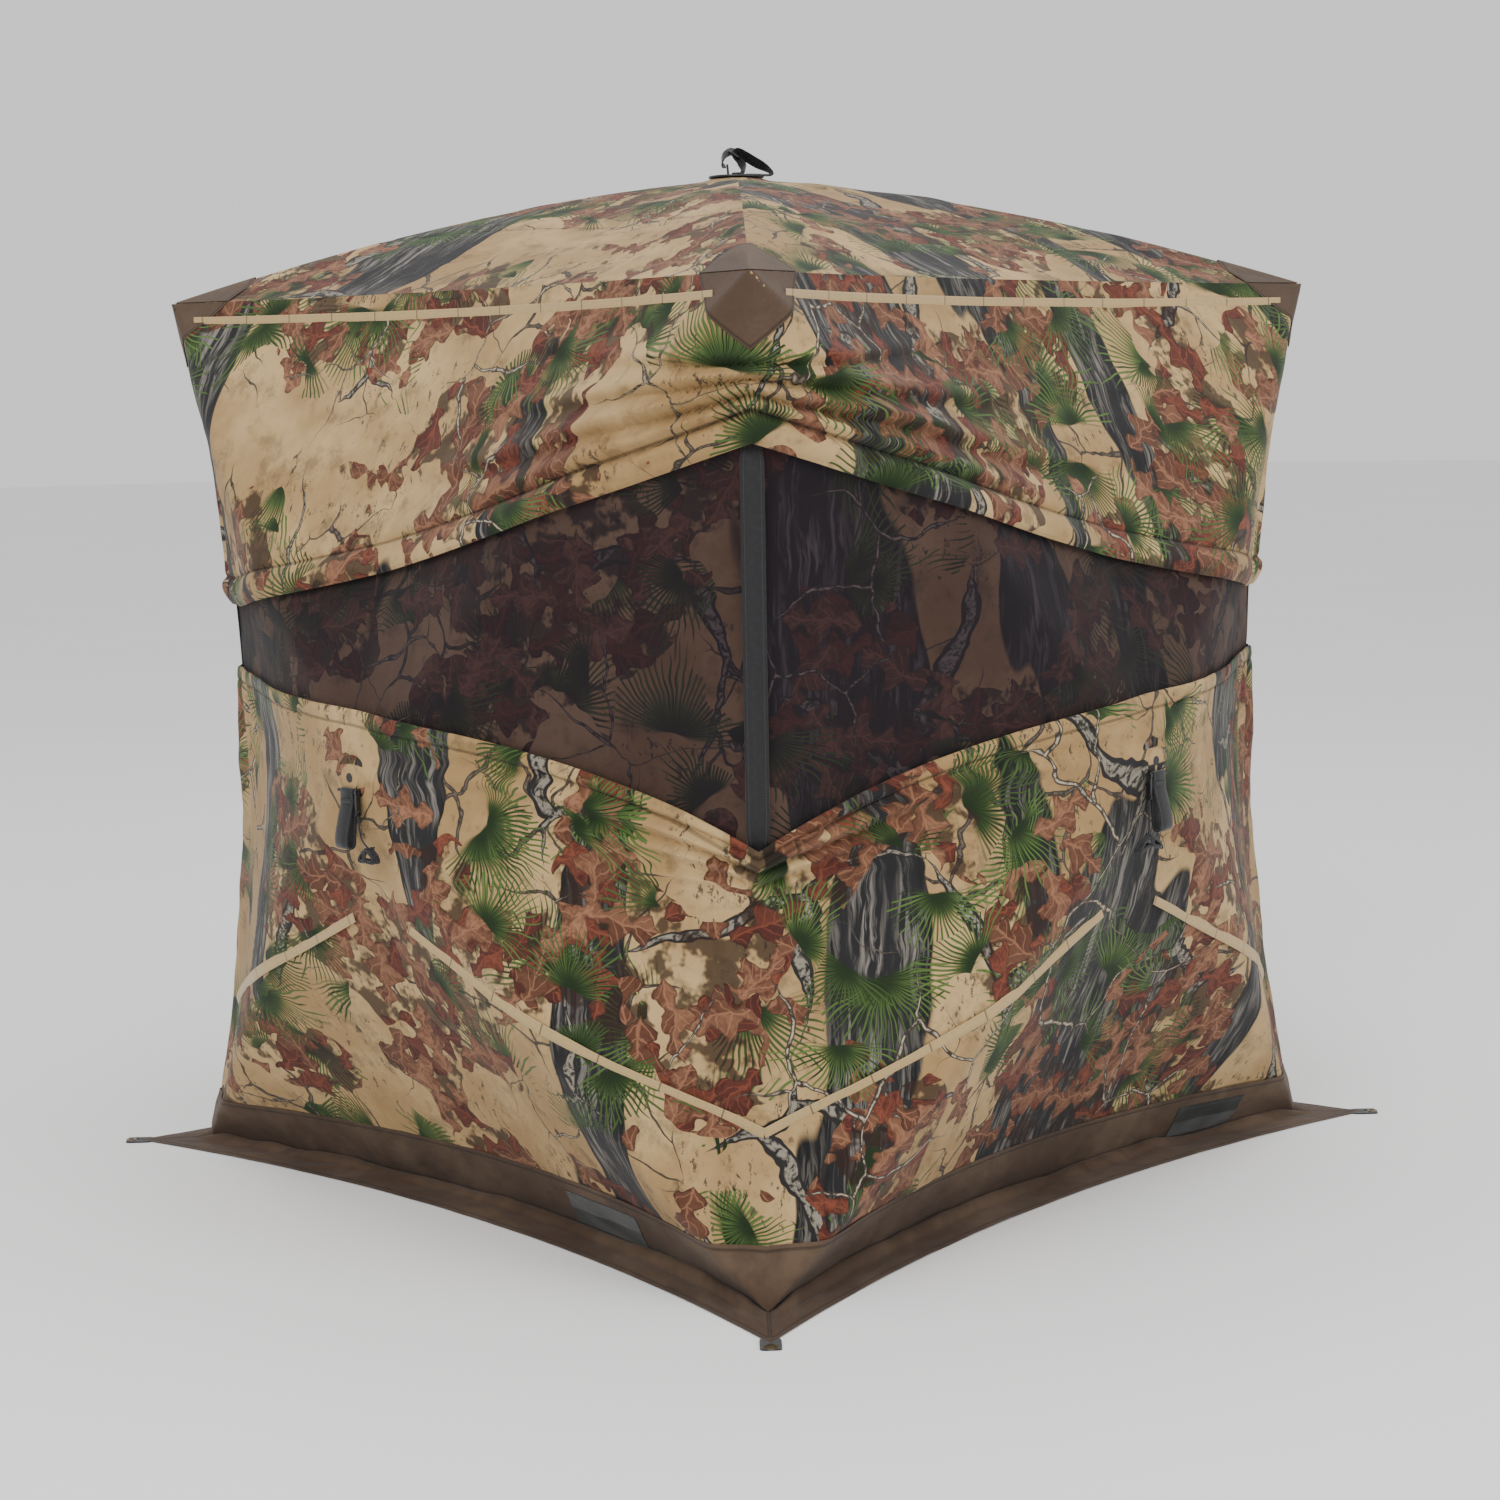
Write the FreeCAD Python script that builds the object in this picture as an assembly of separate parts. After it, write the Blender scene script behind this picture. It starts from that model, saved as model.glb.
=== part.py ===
import FreeCAD, Part
import math
import os

# Pop up ground blind: a square cloth shelter on five sprung hubs. Each of the four walls and the roof
# has a hub at its middle, and four fibreglass rods run from that hub to the corners of its panel. The
# hub stands proud of the rods' tips, so the cloth is a shallow pyramid, and pushing the hub through to
# the inside folds that panel. Millimetres, +Z up, walls square to X and Y, origin on the ground at the
# middle of the floor. The front wall faces -Y, the right wall +X, the back wall +Y, the left wall -X.

V = FreeCAD.Vector
OUT = "parts"
os.makedirs(OUT, exist_ok=True)

# Driving dimensions: the cloth shell
SIDE = 1500.0  # between neighbouring corners
EAVE = 1618.0  # height of the roof's corners
APEX = 1832.0  # height of the cloth at the roof hub
HUB_OUT = 200.0  # how far a wall's middle stands out from the line of its corners
ROD_BOW = 32.0  # how far the bent rods lift the cloth above a straight slope
SIDE_PULL = 64.0  # the free edges of a tensioned panel curve inwards by this much at their middles
EAVE_PULL = 85.0
HEM_PULL = 106.0
CLOTH = 2.4  # wall of a cloth solid
SKIRT_REACH = 107.0  # the skirt lies on the ground this far out
SKIRT_T = 2.0
BAND_TOP = 97.0  # top of the plain band at the foot of the walls
RINGS = [1.0, 0.93, 0.75, 0.5, 0.25]  # a cloth panel's facets meet on squares of these sizes
SPANS = 6  # facets along each edge of a cloth panel

# Driving dimensions: windows, as shares of half the wall's height above its middle
HEAD_FAR = 0.305  # top of the window at the far corners
HEAD_RISE = 0.380  # how much higher it is at the tall corner
HEAD_POWER = 1.7
SILL_FAR = 0.150
SILL_DROP = 0.263  # how much lower the sill is at the tall corner
SILL_POWER = 4.0

# Driving dimensions: hubs, rods and straps
HUB_R = 44.0
HUB_T = 30.0
HUB_TOP = 13.0  # depth of the moulding's outer face under the cloth's peak
PIN_RADIUS = 30.0  # from the hub's middle to each rod's pin
PIN_R = 2.5
PIN_LENGTH = 27.0
PIN_CLEAR = 0.05
SLOT = 13.0
SLOT_START = 14.0
FERRULE_R = 6.0
FERRULE_LENGTH = 45.0
ROD_R = 5.0
ROD_RISE = 27.0  # sagitta of a bent rod
TIP_R = 6.5
TIP_LENGTH = 22.0
TIP_SHORT = 59.0  # a rod's tip stops this far short of its corner, in plan
TIP_LEVEL = 2.0  # height of a rod's tip above the line of the corners
CAP_R = 38.0
ROOF_CAP_R = 52.0
CAP_T = 3.5
HOLE_R = 22.0
NECK_R = 14.0
STRAP_WIDTH = 34.0
WEB = 2.0  # thickness of webbing
BAR_R = 2.5
BAR_HALF = 28.0  # the bar's ends stand past its two posts, to take a snap clip
BAR_DROP = 22.0  # the pull strap's bar is this far below the hub's middle
BAR_HEIGHT = 10.0
LOOP_DROP = 84.0
LOOP_R = 13.0
CORNER_STRAP = 38.0

# Driving dimensions: small parts
STRIP = 20.0  # loop strips for brush
STRIP_GAP = 5.0
TAB_WIDTH = 34.0
TAB_LENGTH = 50.0
GROMMET_R = 5.5
LINE_R = 1.5
ZIP_P = 0.93  # the door's zip runs this far across the back wall
ZIP_REST_Q = -0.58
SLIDER_CLEAR = 5.5  # from the zip's face to the middle of its slider

WALLS = ["front", "right", "back", "left"]
HALF = SIDE / 2
PIN_DEPTH = HUB_TOP + HUB_T / 2


def save(shape, name):
    shape.exportStep(os.path.join(OUT, name + ".step"))
    if not shape.isValid():
        print("not valid:", name)


def smooth(x):
    """0 to 1 with level ends: 3x^2 - 2x^3, held outside that range."""
    x = min(max(x, 0.0), 1.0)
    return x * x * (3 - 2 * x)


def lift(t, rise):
    """How far a panel stands out at t, from 0 at its edge to 1 at its hub: a slope and the rods' bow."""
    return rise * t + 4 * ROD_BOW * t * (1 - t)


def drawn_in(a, b):
    """The share of an edge's inward curve that a point takes, from the edge that a points at."""
    if abs(b) >= 1:
        return 0.0
    return smooth((abs(a) - abs(b)) / (1 - abs(b))) * (1 - b * b)


def wall_point(p, q, depth=0.0):
    """A point of the front wall: p runs along it and q up it, both -1 to 1, and depth goes inwards."""
    t = 1 - max(abs(p), abs(q))
    side = drawn_in(p, q)
    level = drawn_in(q, p)
    pull = EAVE_PULL if q > 0 else HEM_PULL
    x = p * HALF - math.copysign(SIDE_PULL * side, p) - depth * p
    y = -(HALF + lift(t, HUB_OUT) - SIDE_PULL * side - pull * level - depth)
    return V(x, y, EAVE * (1 + q) / 2 - depth * (1 + q) / 2)


def roof_point(a, b, depth=0.0):
    """A point of the roof, a along X and b along Y, both -1 to 1."""
    t = 1 - max(abs(a), abs(b))
    x = a * HALF - math.copysign(EAVE_PULL * drawn_in(a, b), a) - depth * a
    y = b * HALF - math.copysign(EAVE_PULL * drawn_in(b, a), b) - depth * b
    return V(x, y, EAVE + lift(t, APEX - EAVE) - depth)


def solid_of(triangles):
    """A closed solid from point triples."""
    faces = [Part.Face(Part.makePolygon([*t, t[0]])) for t in triangles]
    shape = Part.Solid(Part.makeShell(faces))
    if shape.Volume < 0:
        shape.reverse()
    return shape


def thick(outer, inner, triangles):
    """A sheet's solid: its outer and inner points, index triples, and walls along its free edges."""
    uses = {}
    for a, b, c in triangles:
        for edge in ((a, b), (b, c), (c, a)):
            uses[frozenset(edge)] = None if frozenset(edge) in uses else edge
    faces = [(outer[a], outer[b], outer[c]) for a, b, c in triangles]
    faces += [(inner[a], inner[c], inner[b]) for a, b, c in triangles]
    for edge in uses.values():
        if edge:
            rim = [outer[edge[1]], outer[edge[0]], inner[edge[0]], inner[edge[1]]]
            middle = (rim[0] + rim[1] + rim[2] + rim[3]) * 0.25
            faces += [(rim[i - 1], rim[i], middle) for i in range(4)]
    return solid_of(faces)


def ribbon(near, far):
    """A bar of four-sided section: near and far are rows of the section's two edges, outer then inner."""
    count = len(near)
    outer = [row[0] for row in near] + [row[0] for row in far]
    inner = [row[1] for row in near] + [row[1] for row in far]
    triangles = []
    for i in range(count - 1):
        triangles += [(i, i + 1, count + i), (i + 1, count + i + 1, count + i)]
    return thick(outer, inner, triangles)


def panel(point):
    """A whole cloth panel on concentric squares of facets, folded along its two diagonals."""
    places = []
    for reach in RINGS:
        for side in range(4):
            for step in range(SPANS):
                u = -1 + 2 * step / SPANS
                a, b = [(u, -1), (1, u), (-u, 1), (-1, -u)][side]
                places.append((a * reach, b * reach))
    places.append((0.0, 0.0))
    around = 4 * SPANS
    middle = len(places) - 1
    triangles = []
    for ring in range(len(RINGS)):
        for i in range(around):
            j = (i + 1) % around
            a, b = ring * around + i, ring * around + j
            if ring == len(RINGS) - 1:
                triangles.append((a, b, middle))
                continue
            c, d = a + around, b + around
            triangles += [(a, b, d), (a, d, c)] if i % SPANS < SPANS / 2 else [(a, b, c), (b, d, c)]
    outer = [point(a, b) for a, b in places]
    inner = [point(a, b, CLOTH) for a, b in places]
    return thick(outer, inner, triangles)


def turned(shape, k):
    """The front wall's piece carried round to wall k."""
    copy = shape.copy()
    copy.rotate(V(0, 0, 0), V(0, 0, 1), 90 * k)
    return copy


def from_tall_corner(k, p):
    """0 at the window's tall corner, between the front and right walls, to 1 at the far ones and past."""
    return {0: (1 - p) / 2, 1: (1 + p) / 2}.get(k, 1.0)


def head(k, p):
    return HEAD_FAR + HEAD_RISE * (1 - from_tall_corner(k, p)) ** HEAD_POWER


def sill(k, p):
    return SILL_FAR - SILL_DROP * (1 - from_tall_corner(k, p)) ** SILL_POWER


def band_between(low, high):
    """A prism through the front wall between two level curves, each a function of p giving q."""
    steps = 12
    line = [-1 + 2 * i / steps for i in range(steps + 1)]
    rows = []
    for curve in (low, high):
        row = [wall_point(p, curve(p)) for p in line]
        row = [V(-HALF - 50, 0, row[0].z)] + row + [V(HALF + 50, 0, row[-1].z)]
        rows.append([V(v.x, -HALF - 400, v.z) for v in row])
    outline = rows[0] + rows[1][::-1]
    face = Part.Face(Part.makePolygon([*outline, outline[0]]))
    return face.extrude(V(0, 600, 0))


# The walls' cloth: a plain band at the foot, the lower wall, the window's mesh and the upper wall

def height_share(z):
    return 2 * z / EAVE - 1


wall_sheet = panel(wall_point)
hub_hole = Part.makeCylinder(HOLE_R, 80, V(0, -HALF - HUB_OUT - 40, EAVE / 2), V(0, 1, 0))
wall_sheet = wall_sheet.cut(hub_hole)
bands, meshes = [], []
for k, wall in enumerate(WALLS):
    cuts = [
        lambda p: height_share(SKIRT_T),
        lambda p: height_share(BAND_TOP),
        lambda p: sill(k, p),
        lambda p: head(k, p),
        lambda p: 1.2,
    ]
    pieces = [wall_sheet.common(band_between(low, high)) for low, high in zip(cuts, cuts[1:])]
    band, lower, mesh, upper = [turned(piece.Solids[0], k) for piece in pieces]
    bands.append(band)
    meshes.append(mesh)
    save(lower, "wall_lower_" + wall)
    save(upper, "wall_upper_" + wall)
save(Part.makeCompound(bands), "foot_band")
save(Part.makeCompound(meshes), "window_mesh")

roof_sheet = panel(roof_point)
save(roof_sheet.cut(Part.makeCylinder(HOLE_R, 80, V(0, 0, APEX - 40))), "roof_cloth")

# The ground skirt: four mitred flaps, with a webbing tab and a grommet at each corner

tab_out = (HALF + SKIRT_REACH) * math.sqrt(2) - 22
tab = Part.makeBox(TAB_LENGTH, TAB_WIDTH, SKIRT_T, V(tab_out, -TAB_WIDTH / 2, 0))
eye = V(tab_out + TAB_LENGTH - 17, 0, 0)
barrel = Part.makeCylinder(GROMMET_R + 1.5, SKIRT_T, eye)
grommet = barrel.fuse(Part.makeCylinder(GROMMET_R + 4.5, 1, eye + V(0, 0, SKIRT_T)))
grommet = grommet.cut(Part.makeCylinder(GROMMET_R, 20, eye - V(0, 0, 5)))
tab_hole = Part.makeCylinder(GROMMET_R + 1.5, 20, eye - V(0, 0, 5))
flaps, tabs, grommets = [], [], []
for k in range(4):
    row = [wall_point(-1 + i / SPANS, -1, CLOTH) for i in range(2 * SPANS + 1)]
    widen = (HALF + SKIRT_REACH) / HALF
    edge = [wall_point(-1 + i / SPANS, -1) for i in range(2 * SPANS + 1)]
    edge = [V(v.x * widen, v.y - SKIRT_REACH, 0) for v in edge]
    outline = [V(v.x, v.y, 0) for v in row] + edge[::-1]
    flap = Part.Face(Part.makePolygon([*outline, outline[0]])).extrude(V(0, 0, SKIRT_T))
    for side in (-45, -135):
        corner_tab = tab.copy()
        corner_tab.rotate(V(0, 0, 0), V(0, 0, 1), side)
        flap = flap.cut(corner_tab)
    flaps.append(turned(flap.Solids[0], k))
    for group, piece in ((tabs, tab.cut(tab_hole)), (grommets, grommet)):
        piece = piece.copy()
        piece.rotate(V(0, 0, 0), V(0, 0, 1), 45 + 90 * k)
        group.append(piece)
save(Part.makeCompound(flaps), "ground_skirt")
save(Part.makeCompound(tabs), "stake_tabs")
save(Part.makeCompound(grommets), "stake_grommets")

# Webbing down the four corners, and the pockets that take the rods' tips inside them

levels = [-0.99] + [-1 + i / 3 for i in range(1, 6)] + [0.99]
near, far = [], []
across = V(1, 1, 0).normalize() * (CORNER_STRAP / 2)
outward = V(1, -1, 0).normalize()
for q in levels:
    edge = wall_point(1, q) + outward * 1.0
    near.append((edge - across + outward * WEB, edge - across))
    far.append((edge + across + outward * WEB, edge + across))
strap = ribbon(near, far)
save(Part.makeCompound([turned(strap, k) for k in range(4)]), "corner_straps")


def pocket(z, way):
    """A small sewn pocket in a corner, as a wedge with its point in the corner and three legs."""
    def at(a, b, c):
        return V(HALF - a, -(HALF - b), z + way * c)
    tip, one, two, up = at(9, 9, 5), at(36, 17, 5), at(17, 36, 5), at(18, 18, 34)
    return solid_of([(tip, one, two), (tip, up, one), (tip, two, up), (one, up, two)])


pockets = [turned(pocket(z, way), k) for k in range(4) for z, way in ((SKIRT_T, 1), (EAVE, -1))]
save(Part.makeCompound(pockets), "rod_pockets")


# Loop strips for brush, and the door's zip, laid on the walls

def laid_strip(path, width, gap, depth):
    """A strip over the front wall along a path of (p, q), standing gap off the cloth."""
    steps = 12
    near, far = [], []
    for i in range(steps + 1):
        s = i / steps * (len(path) - 1)
        n = min(int(s), len(path) - 2)
        (p0, q0), (p1, q1) = path[n], path[n + 1]
        p, q = p0 + (p1 - p0) * (s - n), q0 + (q1 - q0) * (s - n)
        along = V((p1 - p0) * HALF, 0, (q1 - q0) * EAVE / 2).normalize()
        side = V(-along.z, 0, along.x) * (width / 2)
        low = wall_point(p - side.x / HALF, q - side.z * 2 / EAVE) - V(0, gap, 0)
        high = wall_point(p + side.x / HALF, q + side.z * 2 / EAVE) - V(0, gap, 0)
        near.append((low - V(0, depth, 0), low))
        far.append((high - V(0, depth, 0), high))
    return ribbon(near, far)


STRIP_PATHS = [
    [(-0.90, 0.955), (0.90, 0.955)],
    [(-0.90, -0.640), (-0.10, -0.315)],
    [(0.10, -0.315), (0.90, -0.640)],
]
strips = [laid_strip(path, STRIP, STRIP_GAP, 1.5) for path in STRIP_PATHS]
save(Part.makeCompound([turned(s, k) for s in strips for k in range(4)]), "brush_strips")
zip_chain = laid_strip([(ZIP_P, -0.86), (ZIP_P, 0.86)], 24.0, STRIP_GAP, 1.5)
save(turned(zip_chain, 2), "zip_chain")


def zip_slider():
    """The slider and its pull tab, square to the cloth at the zip's foot."""
    step = 0.01
    up = wall_point(ZIP_P, ZIP_REST_Q + step) - wall_point(ZIP_P, ZIP_REST_Q - step)
    across = wall_point(ZIP_P + step, ZIP_REST_Q) - wall_point(ZIP_P - step, ZIP_REST_Q)
    inward = up.cross(across).normalize()
    slider = Part.makeBox(11, 7, 16, V(-5.5, -5, -8))
    pull = Part.makeBox(8, 2, 42, V(-4, -7, -44)).cut(Part.makeBox(4, 4, 8, V(-2, -8, -42)))
    slider = slider.fuse(pull)
    square = FreeCAD.Rotation(across.normalize(), inward, across.cross(inward), "XYZ")
    lifted = wall_point(ZIP_P, ZIP_REST_Q) - V(0, STRIP_GAP + 1.5 + SLIDER_CLEAR, 0)
    slider.Placement = FreeCAD.Placement(lifted, square)
    return slider


save(turned(zip_slider(), 2), "zip_slider")

# Hubs and rods. Each station has its own frame: X along the panel, Y up it (or +Y on the roof), Z out


def turn_of(k):
    spin = FreeCAD.Rotation(V(0, 0, 1), 90 * k)
    along, normal = spin.multVec(V(1, 0, 0)), spin.multVec(V(0, -1, 0))
    base = normal * (HALF + HUB_OUT) + V(0, 0, EAVE / 2)
    return FreeCAD.Placement(base, FreeCAD.Rotation(along, V(0, 0, 1), normal, "XYZ"))


def stationed(shape, station):
    copy = shape.copy()
    copy.Placement = station.multiply(copy.Placement)
    return copy


def arm_angles(width, height):
    slope = math.degrees(math.atan2(height, width))
    return {"upper_right": slope, "upper_left": 180 - slope, "lower_left": 180 + slope, "lower_right": -slope}


def spun(shape, degrees):
    copy = shape.copy()
    copy.rotate(V(0, 0, 0), V(0, 0, 1), degrees)
    return copy


def hub_moulding(angles):
    """A disc with four radial slots, each with a hole across it for a rod's pin."""
    low = -HUB_TOP - HUB_T
    body = Part.makeCylinder(HUB_R, HUB_T, V(0, 0, low))
    body = body.cut(Part.makeCylinder(4.1, HUB_T + 2, V(0, 0, low - 1)))
    slot = Part.makeBox(HUB_R, SLOT, HUB_T + 2, V(SLOT_START, -SLOT / 2, low - 1))
    hole_length = PIN_LENGTH + 1
    hole_start = V(PIN_RADIUS, -hole_length / 2, -PIN_DEPTH)
    hole = Part.makeCylinder(PIN_R + PIN_CLEAR, hole_length, hole_start, V(0, 1, 0))
    for degrees in angles.values():
        body = body.cut(spun(slot, degrees)).cut(spun(hole, degrees))
    return body


def hub_cap(radius, with_bar):
    """The outer washer with its neck through the cloth, its bolt, and the bar for a pull strap."""
    cap = Part.makeCylinder(radius, CAP_T, V(0, 0, 0.5))
    cap = cap.makeChamfer(1.0, [e for e in cap.Edges if e.CenterOfMass.z > 1])
    cap = cap.fuse(Part.makeCylinder(NECK_R, HUB_TOP + 1, V(0, 0, -HUB_TOP)))
    cap = cap.fuse(Part.makeCylinder(4.0, HUB_T + HUB_TOP + 3, V(0, 0, -HUB_TOP - HUB_T - 3)))
    cap = cap.fuse(Part.makeCylinder(9.0, 4.0, V(0, 0, -HUB_TOP - HUB_T - 4.5)))
    head_low = CAP_T + (0.5 if with_bar else 0.5 + WEB + 0.5)
    dome = Part.makeCylinder(8.0, 4.0, V(0, 0, head_low))
    cap = cap.fuse(dome.fuse(Part.makeCylinder(4.0, head_low, V(0, 0, 0))))
    if with_bar:
        reach = STRAP_WIDTH / 2 + 3
        bar = Part.makeCylinder(BAR_R, 2 * BAR_HALF, V(-BAR_HALF, -BAR_DROP, BAR_HEIGHT), V(1, 0, 0))
        cap = cap.fuse(bar)
        for x in (-reach, reach - 3):
            cap = cap.fuse(Part.makeBox(3, 2 * BAR_R, BAR_HEIGHT - 1, V(x, -BAR_DROP - BAR_R, 1)))
    return cap.removeSplitter()


def teardrop(c1, r1, c2, r2):
    """The outline round two circles in the Y-Z plane: two arcs and the two lines that touch both."""
    axis = c2 - c1
    base = math.atan2(axis.z, axis.y)
    open_by = math.acos((r1 - r2) / axis.Length)

    def rim(c, r, angle):
        return c + V(0, r * math.cos(angle), r * math.sin(angle))
    a, b = base + open_by, base - open_by
    edges = [
        Part.Arc(rim(c1, r1, a), rim(c1, r1, base + math.pi), rim(c1, r1, b)).toShape(),
        Part.LineSegment(rim(c1, r1, b), rim(c2, r2, b)).toShape(),
        Part.Arc(rim(c2, r2, b), rim(c2, r2, base), rim(c2, r2, a)).toShape(),
        Part.LineSegment(rim(c2, r2, a), rim(c1, r1, a)).toShape(),
    ]
    return Part.Face(Part.Wire(edges))


def pull_strap():
    """Webbing sewn into a long loop that hangs from the bar on a hub cap."""
    bar = V(-STRAP_WIDTH / 2, -BAR_DROP, BAR_HEIGHT)
    bottom = V(-STRAP_WIDTH / 2, -BAR_DROP - LOOP_DROP, BAR_HEIGHT + 6)
    inner_r = BAR_R + 0.5
    outer = teardrop(bar, inner_r + WEB, bottom, LOOP_R).extrude(V(STRAP_WIDTH, 0, 0))
    inner = teardrop(bar, inner_r, bottom, LOOP_R - WEB).extrude(V(STRAP_WIDTH, 0, 0))
    return outer.cut(inner)


def roof_handle():
    """A webbing handle on the roof hub: a flat foot under the bolt and an arch over it."""
    half, top, low = 46.0, 56.0, 0.5 + CAP_T

    def arched(inset):
        side, foot_z = half - inset, low + inset
        arch = Part.Arc(V(side, 0, foot_z), V(0, 0, top - inset), V(-side, 0, foot_z)).toShape()
        foot = Part.LineSegment(V(-side, 0, foot_z), V(side, 0, foot_z)).toShape()
        return Part.Face(Part.Wire([arch, foot]))

    loop = arched(0).cut(arched(WEB)).extrude(V(0, CORNER_STRAP, 0))
    loop.translate(V(0, -CORNER_STRAP / 2, 0))
    loop = loop.cut(Part.makeCylinder(4.05, 20, V(0, 0, 0)))
    return spun(loop, 45)


def rod(reach, drop):
    """A bent rod along X from its pin at the origin, with its eye and ferrule, tip and pin."""
    chord = math.hypot(reach, drop)
    radius = (chord * chord / 4 + ROD_RISE * ROD_RISE) / (2 * ROD_RISE)
    half_turn = math.asin(chord / 2 / radius)
    start = half_turn - math.atan2(drop, reach)

    def at(length, radial=0.0):
        angle = start - length / radius
        return V(radius * (math.sin(start) - math.sin(angle)) + radial * math.sin(angle) * -1, 0,
                 radius * (math.cos(angle) - math.cos(start)) + radial * math.cos(angle))

    def way(length):
        angle = start - length / radius
        return V(math.cos(angle), 0, math.sin(angle))
    total = 2 * half_turn * radius
    shaft_from, shaft_to = FERRULE_LENGTH + 0.5, total - TIP_LENGTH - 0.5
    spine = Part.Wire([Part.Arc(at(shaft_from), at((shaft_from + shaft_to) / 2), at(shaft_to)).toShape()])
    section = Part.Wire([Part.makeCircle(ROD_R, at(shaft_from), way(shaft_from))])
    shaft = spine.makePipeShell([section], True, True)
    eye = Part.makeCylinder(FERRULE_R + 1, 2 * FERRULE_R, V(0, -FERRULE_R, 0), V(0, 1, 0))
    eye = eye.fuse(Part.makeCylinder(FERRULE_R, FERRULE_LENGTH, V(0, 0, 0), way(0)))
    eye = eye.cut(Part.makeCylinder(PIN_R, 40, V(0, -20, 0), V(0, 1, 0)))
    tip = Part.makeCylinder(TIP_R, TIP_LENGTH, at(total - TIP_LENGTH), way(total - TIP_LENGTH))
    tip = tip.makeFillet(2.5, [tip.Edges[0], tip.Edges[-1]])
    pin = Part.makeCylinder(PIN_R, PIN_LENGTH, V(0, -PIN_LENGTH / 2, 0), V(0, 1, 0))
    return Part.makeCompound([shaft, eye, tip, pin])


def station_pieces(name, station, width, height, rise, cap, angles, rod_names):
    """The hub, cap and four rods of one panel of the given half sizes."""
    save(stationed(hub_moulding(angles), station), "hub_" + name)
    save(stationed(cap, station), "hub_cap_" + name)
    reach = math.hypot(width, height) - TIP_SHORT - PIN_RADIUS
    one = rod(reach, rise - PIN_DEPTH - TIP_LEVEL)
    one.translate(V(PIN_RADIUS, 0, -PIN_DEPTH))
    for arm, degrees in angles.items():
        save(stationed(spun(one, degrees), station), "rod_" + name + "_" + rod_names[arm])


wall_angles = arm_angles(HALF, EAVE / 2)
wall_cap = hub_cap(CAP_R, True)
strap_loop = pull_strap()
for k, wall in enumerate(WALLS):
    names = {arm: arm for arm in wall_angles}
    station_pieces(wall, turn_of(k), HALF, EAVE / 2, HUB_OUT, wall_cap, wall_angles, names)
    save(stationed(strap_loop, turn_of(k)), "pull_strap_" + wall)

roof_station = FreeCAD.Placement(V(0, 0, APEX), FreeCAD.Rotation())
roof_arms = {"upper_right": "back_right", "upper_left": "back_left", "lower_left": "front_left",
             "lower_right": "front_right"}
roof_cap = hub_cap(ROOF_CAP_R, False)
roof_angles = arm_angles(HALF, HALF)
station_pieces("roof", roof_station, HALF, HALF, APEX - EAVE, roof_cap, roof_angles, roof_arms)
save(stationed(roof_handle(), roof_station), "roof_handle")


# Guy lines: a snap clip on a hub cap's bar, a short length of line and the rest tied up in a hank

def line_tube(name, points, radius):
    """A tube along straight runs joined by tangent arcs, each as large as its two runs allow."""
    edges = []
    last = points[0]
    total = 0.0
    for before, corner, after in zip(points, points[1:], points[2:]):
        back, ahead = before - corner, after - corner
        run = min(back.Length, ahead.Length)
        back.normalize()
        ahead.normalize()
        half_turn = (math.pi - back.getAngle(ahead)) / 2
        bend = 0.45 * run / math.tan(half_turn)
        cut = 0.45 * run
        first, second = corner + back * cut, corner + ahead * cut
        centre = corner + (back + ahead).normalize() * (bend / math.cos(half_turn))
        middle = centre + (corner - centre).normalize() * bend
        edges.append(Part.LineSegment(last, first).toShape())
        edges.append(Part.Arc(first, middle, second).toShape())
        total += (first - last).Length + bend * 2 * half_turn
        last = second
        print(name, "bend radius", round(bend, 1), "turn", round(math.degrees(2 * half_turn), 1))
    edges.append(Part.LineSegment(last, points[-1]).toShape())
    total += (points[-1] - last).Length
    path = Part.Wire(edges)
    section = Part.Wire([Part.makeCircle(radius, points[0], points[1] - points[0])])
    tube = path.makePipeShell([section], True, True)
    print(name, "length", round(total, 1), "volume / section x length",
          round(tube.Volume / (math.pi * radius * radius * total), 4))
    return tube


CLIP_T = 5.0  # thickness of a snap clip
CLIP_R = 5.5  # its ends, outside
CLIP_BODY = 9.0  # width of its body
CLIP_SPAN = 36.0  # from its ring to its eye
CLIP_EYE_R = 2.4


def snap_clip(x, top):
    """A flat snap clip that hangs on the bar: a ring at the top, a body and an eye at the bottom."""
    ring = V(x - CLIP_T / 2, top, BAR_HEIGHT)
    eye = ring - V(0, CLIP_SPAN, 0)
    through = V(-2, 0, 0)
    clip = Part.makeCylinder(CLIP_R, CLIP_T, ring, V(1, 0, 0))
    body_start = V(ring.x, top - CLIP_SPAN + 2, BAR_HEIGHT - CLIP_BODY / 2)
    clip = clip.fuse(Part.makeBox(CLIP_T, CLIP_SPAN - 6, CLIP_BODY, body_start))
    clip = clip.fuse(Part.makeCylinder(CLIP_R, CLIP_T, eye, V(1, 0, 0)))
    clip = clip.cut(Part.makeCylinder(BAR_R + 0.3, CLIP_T + 4, ring + through, V(1, 0, 0)))
    return clip.cut(Part.makeCylinder(CLIP_EYE_R, CLIP_T + 4, eye + through, V(1, 0, 0)))


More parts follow.
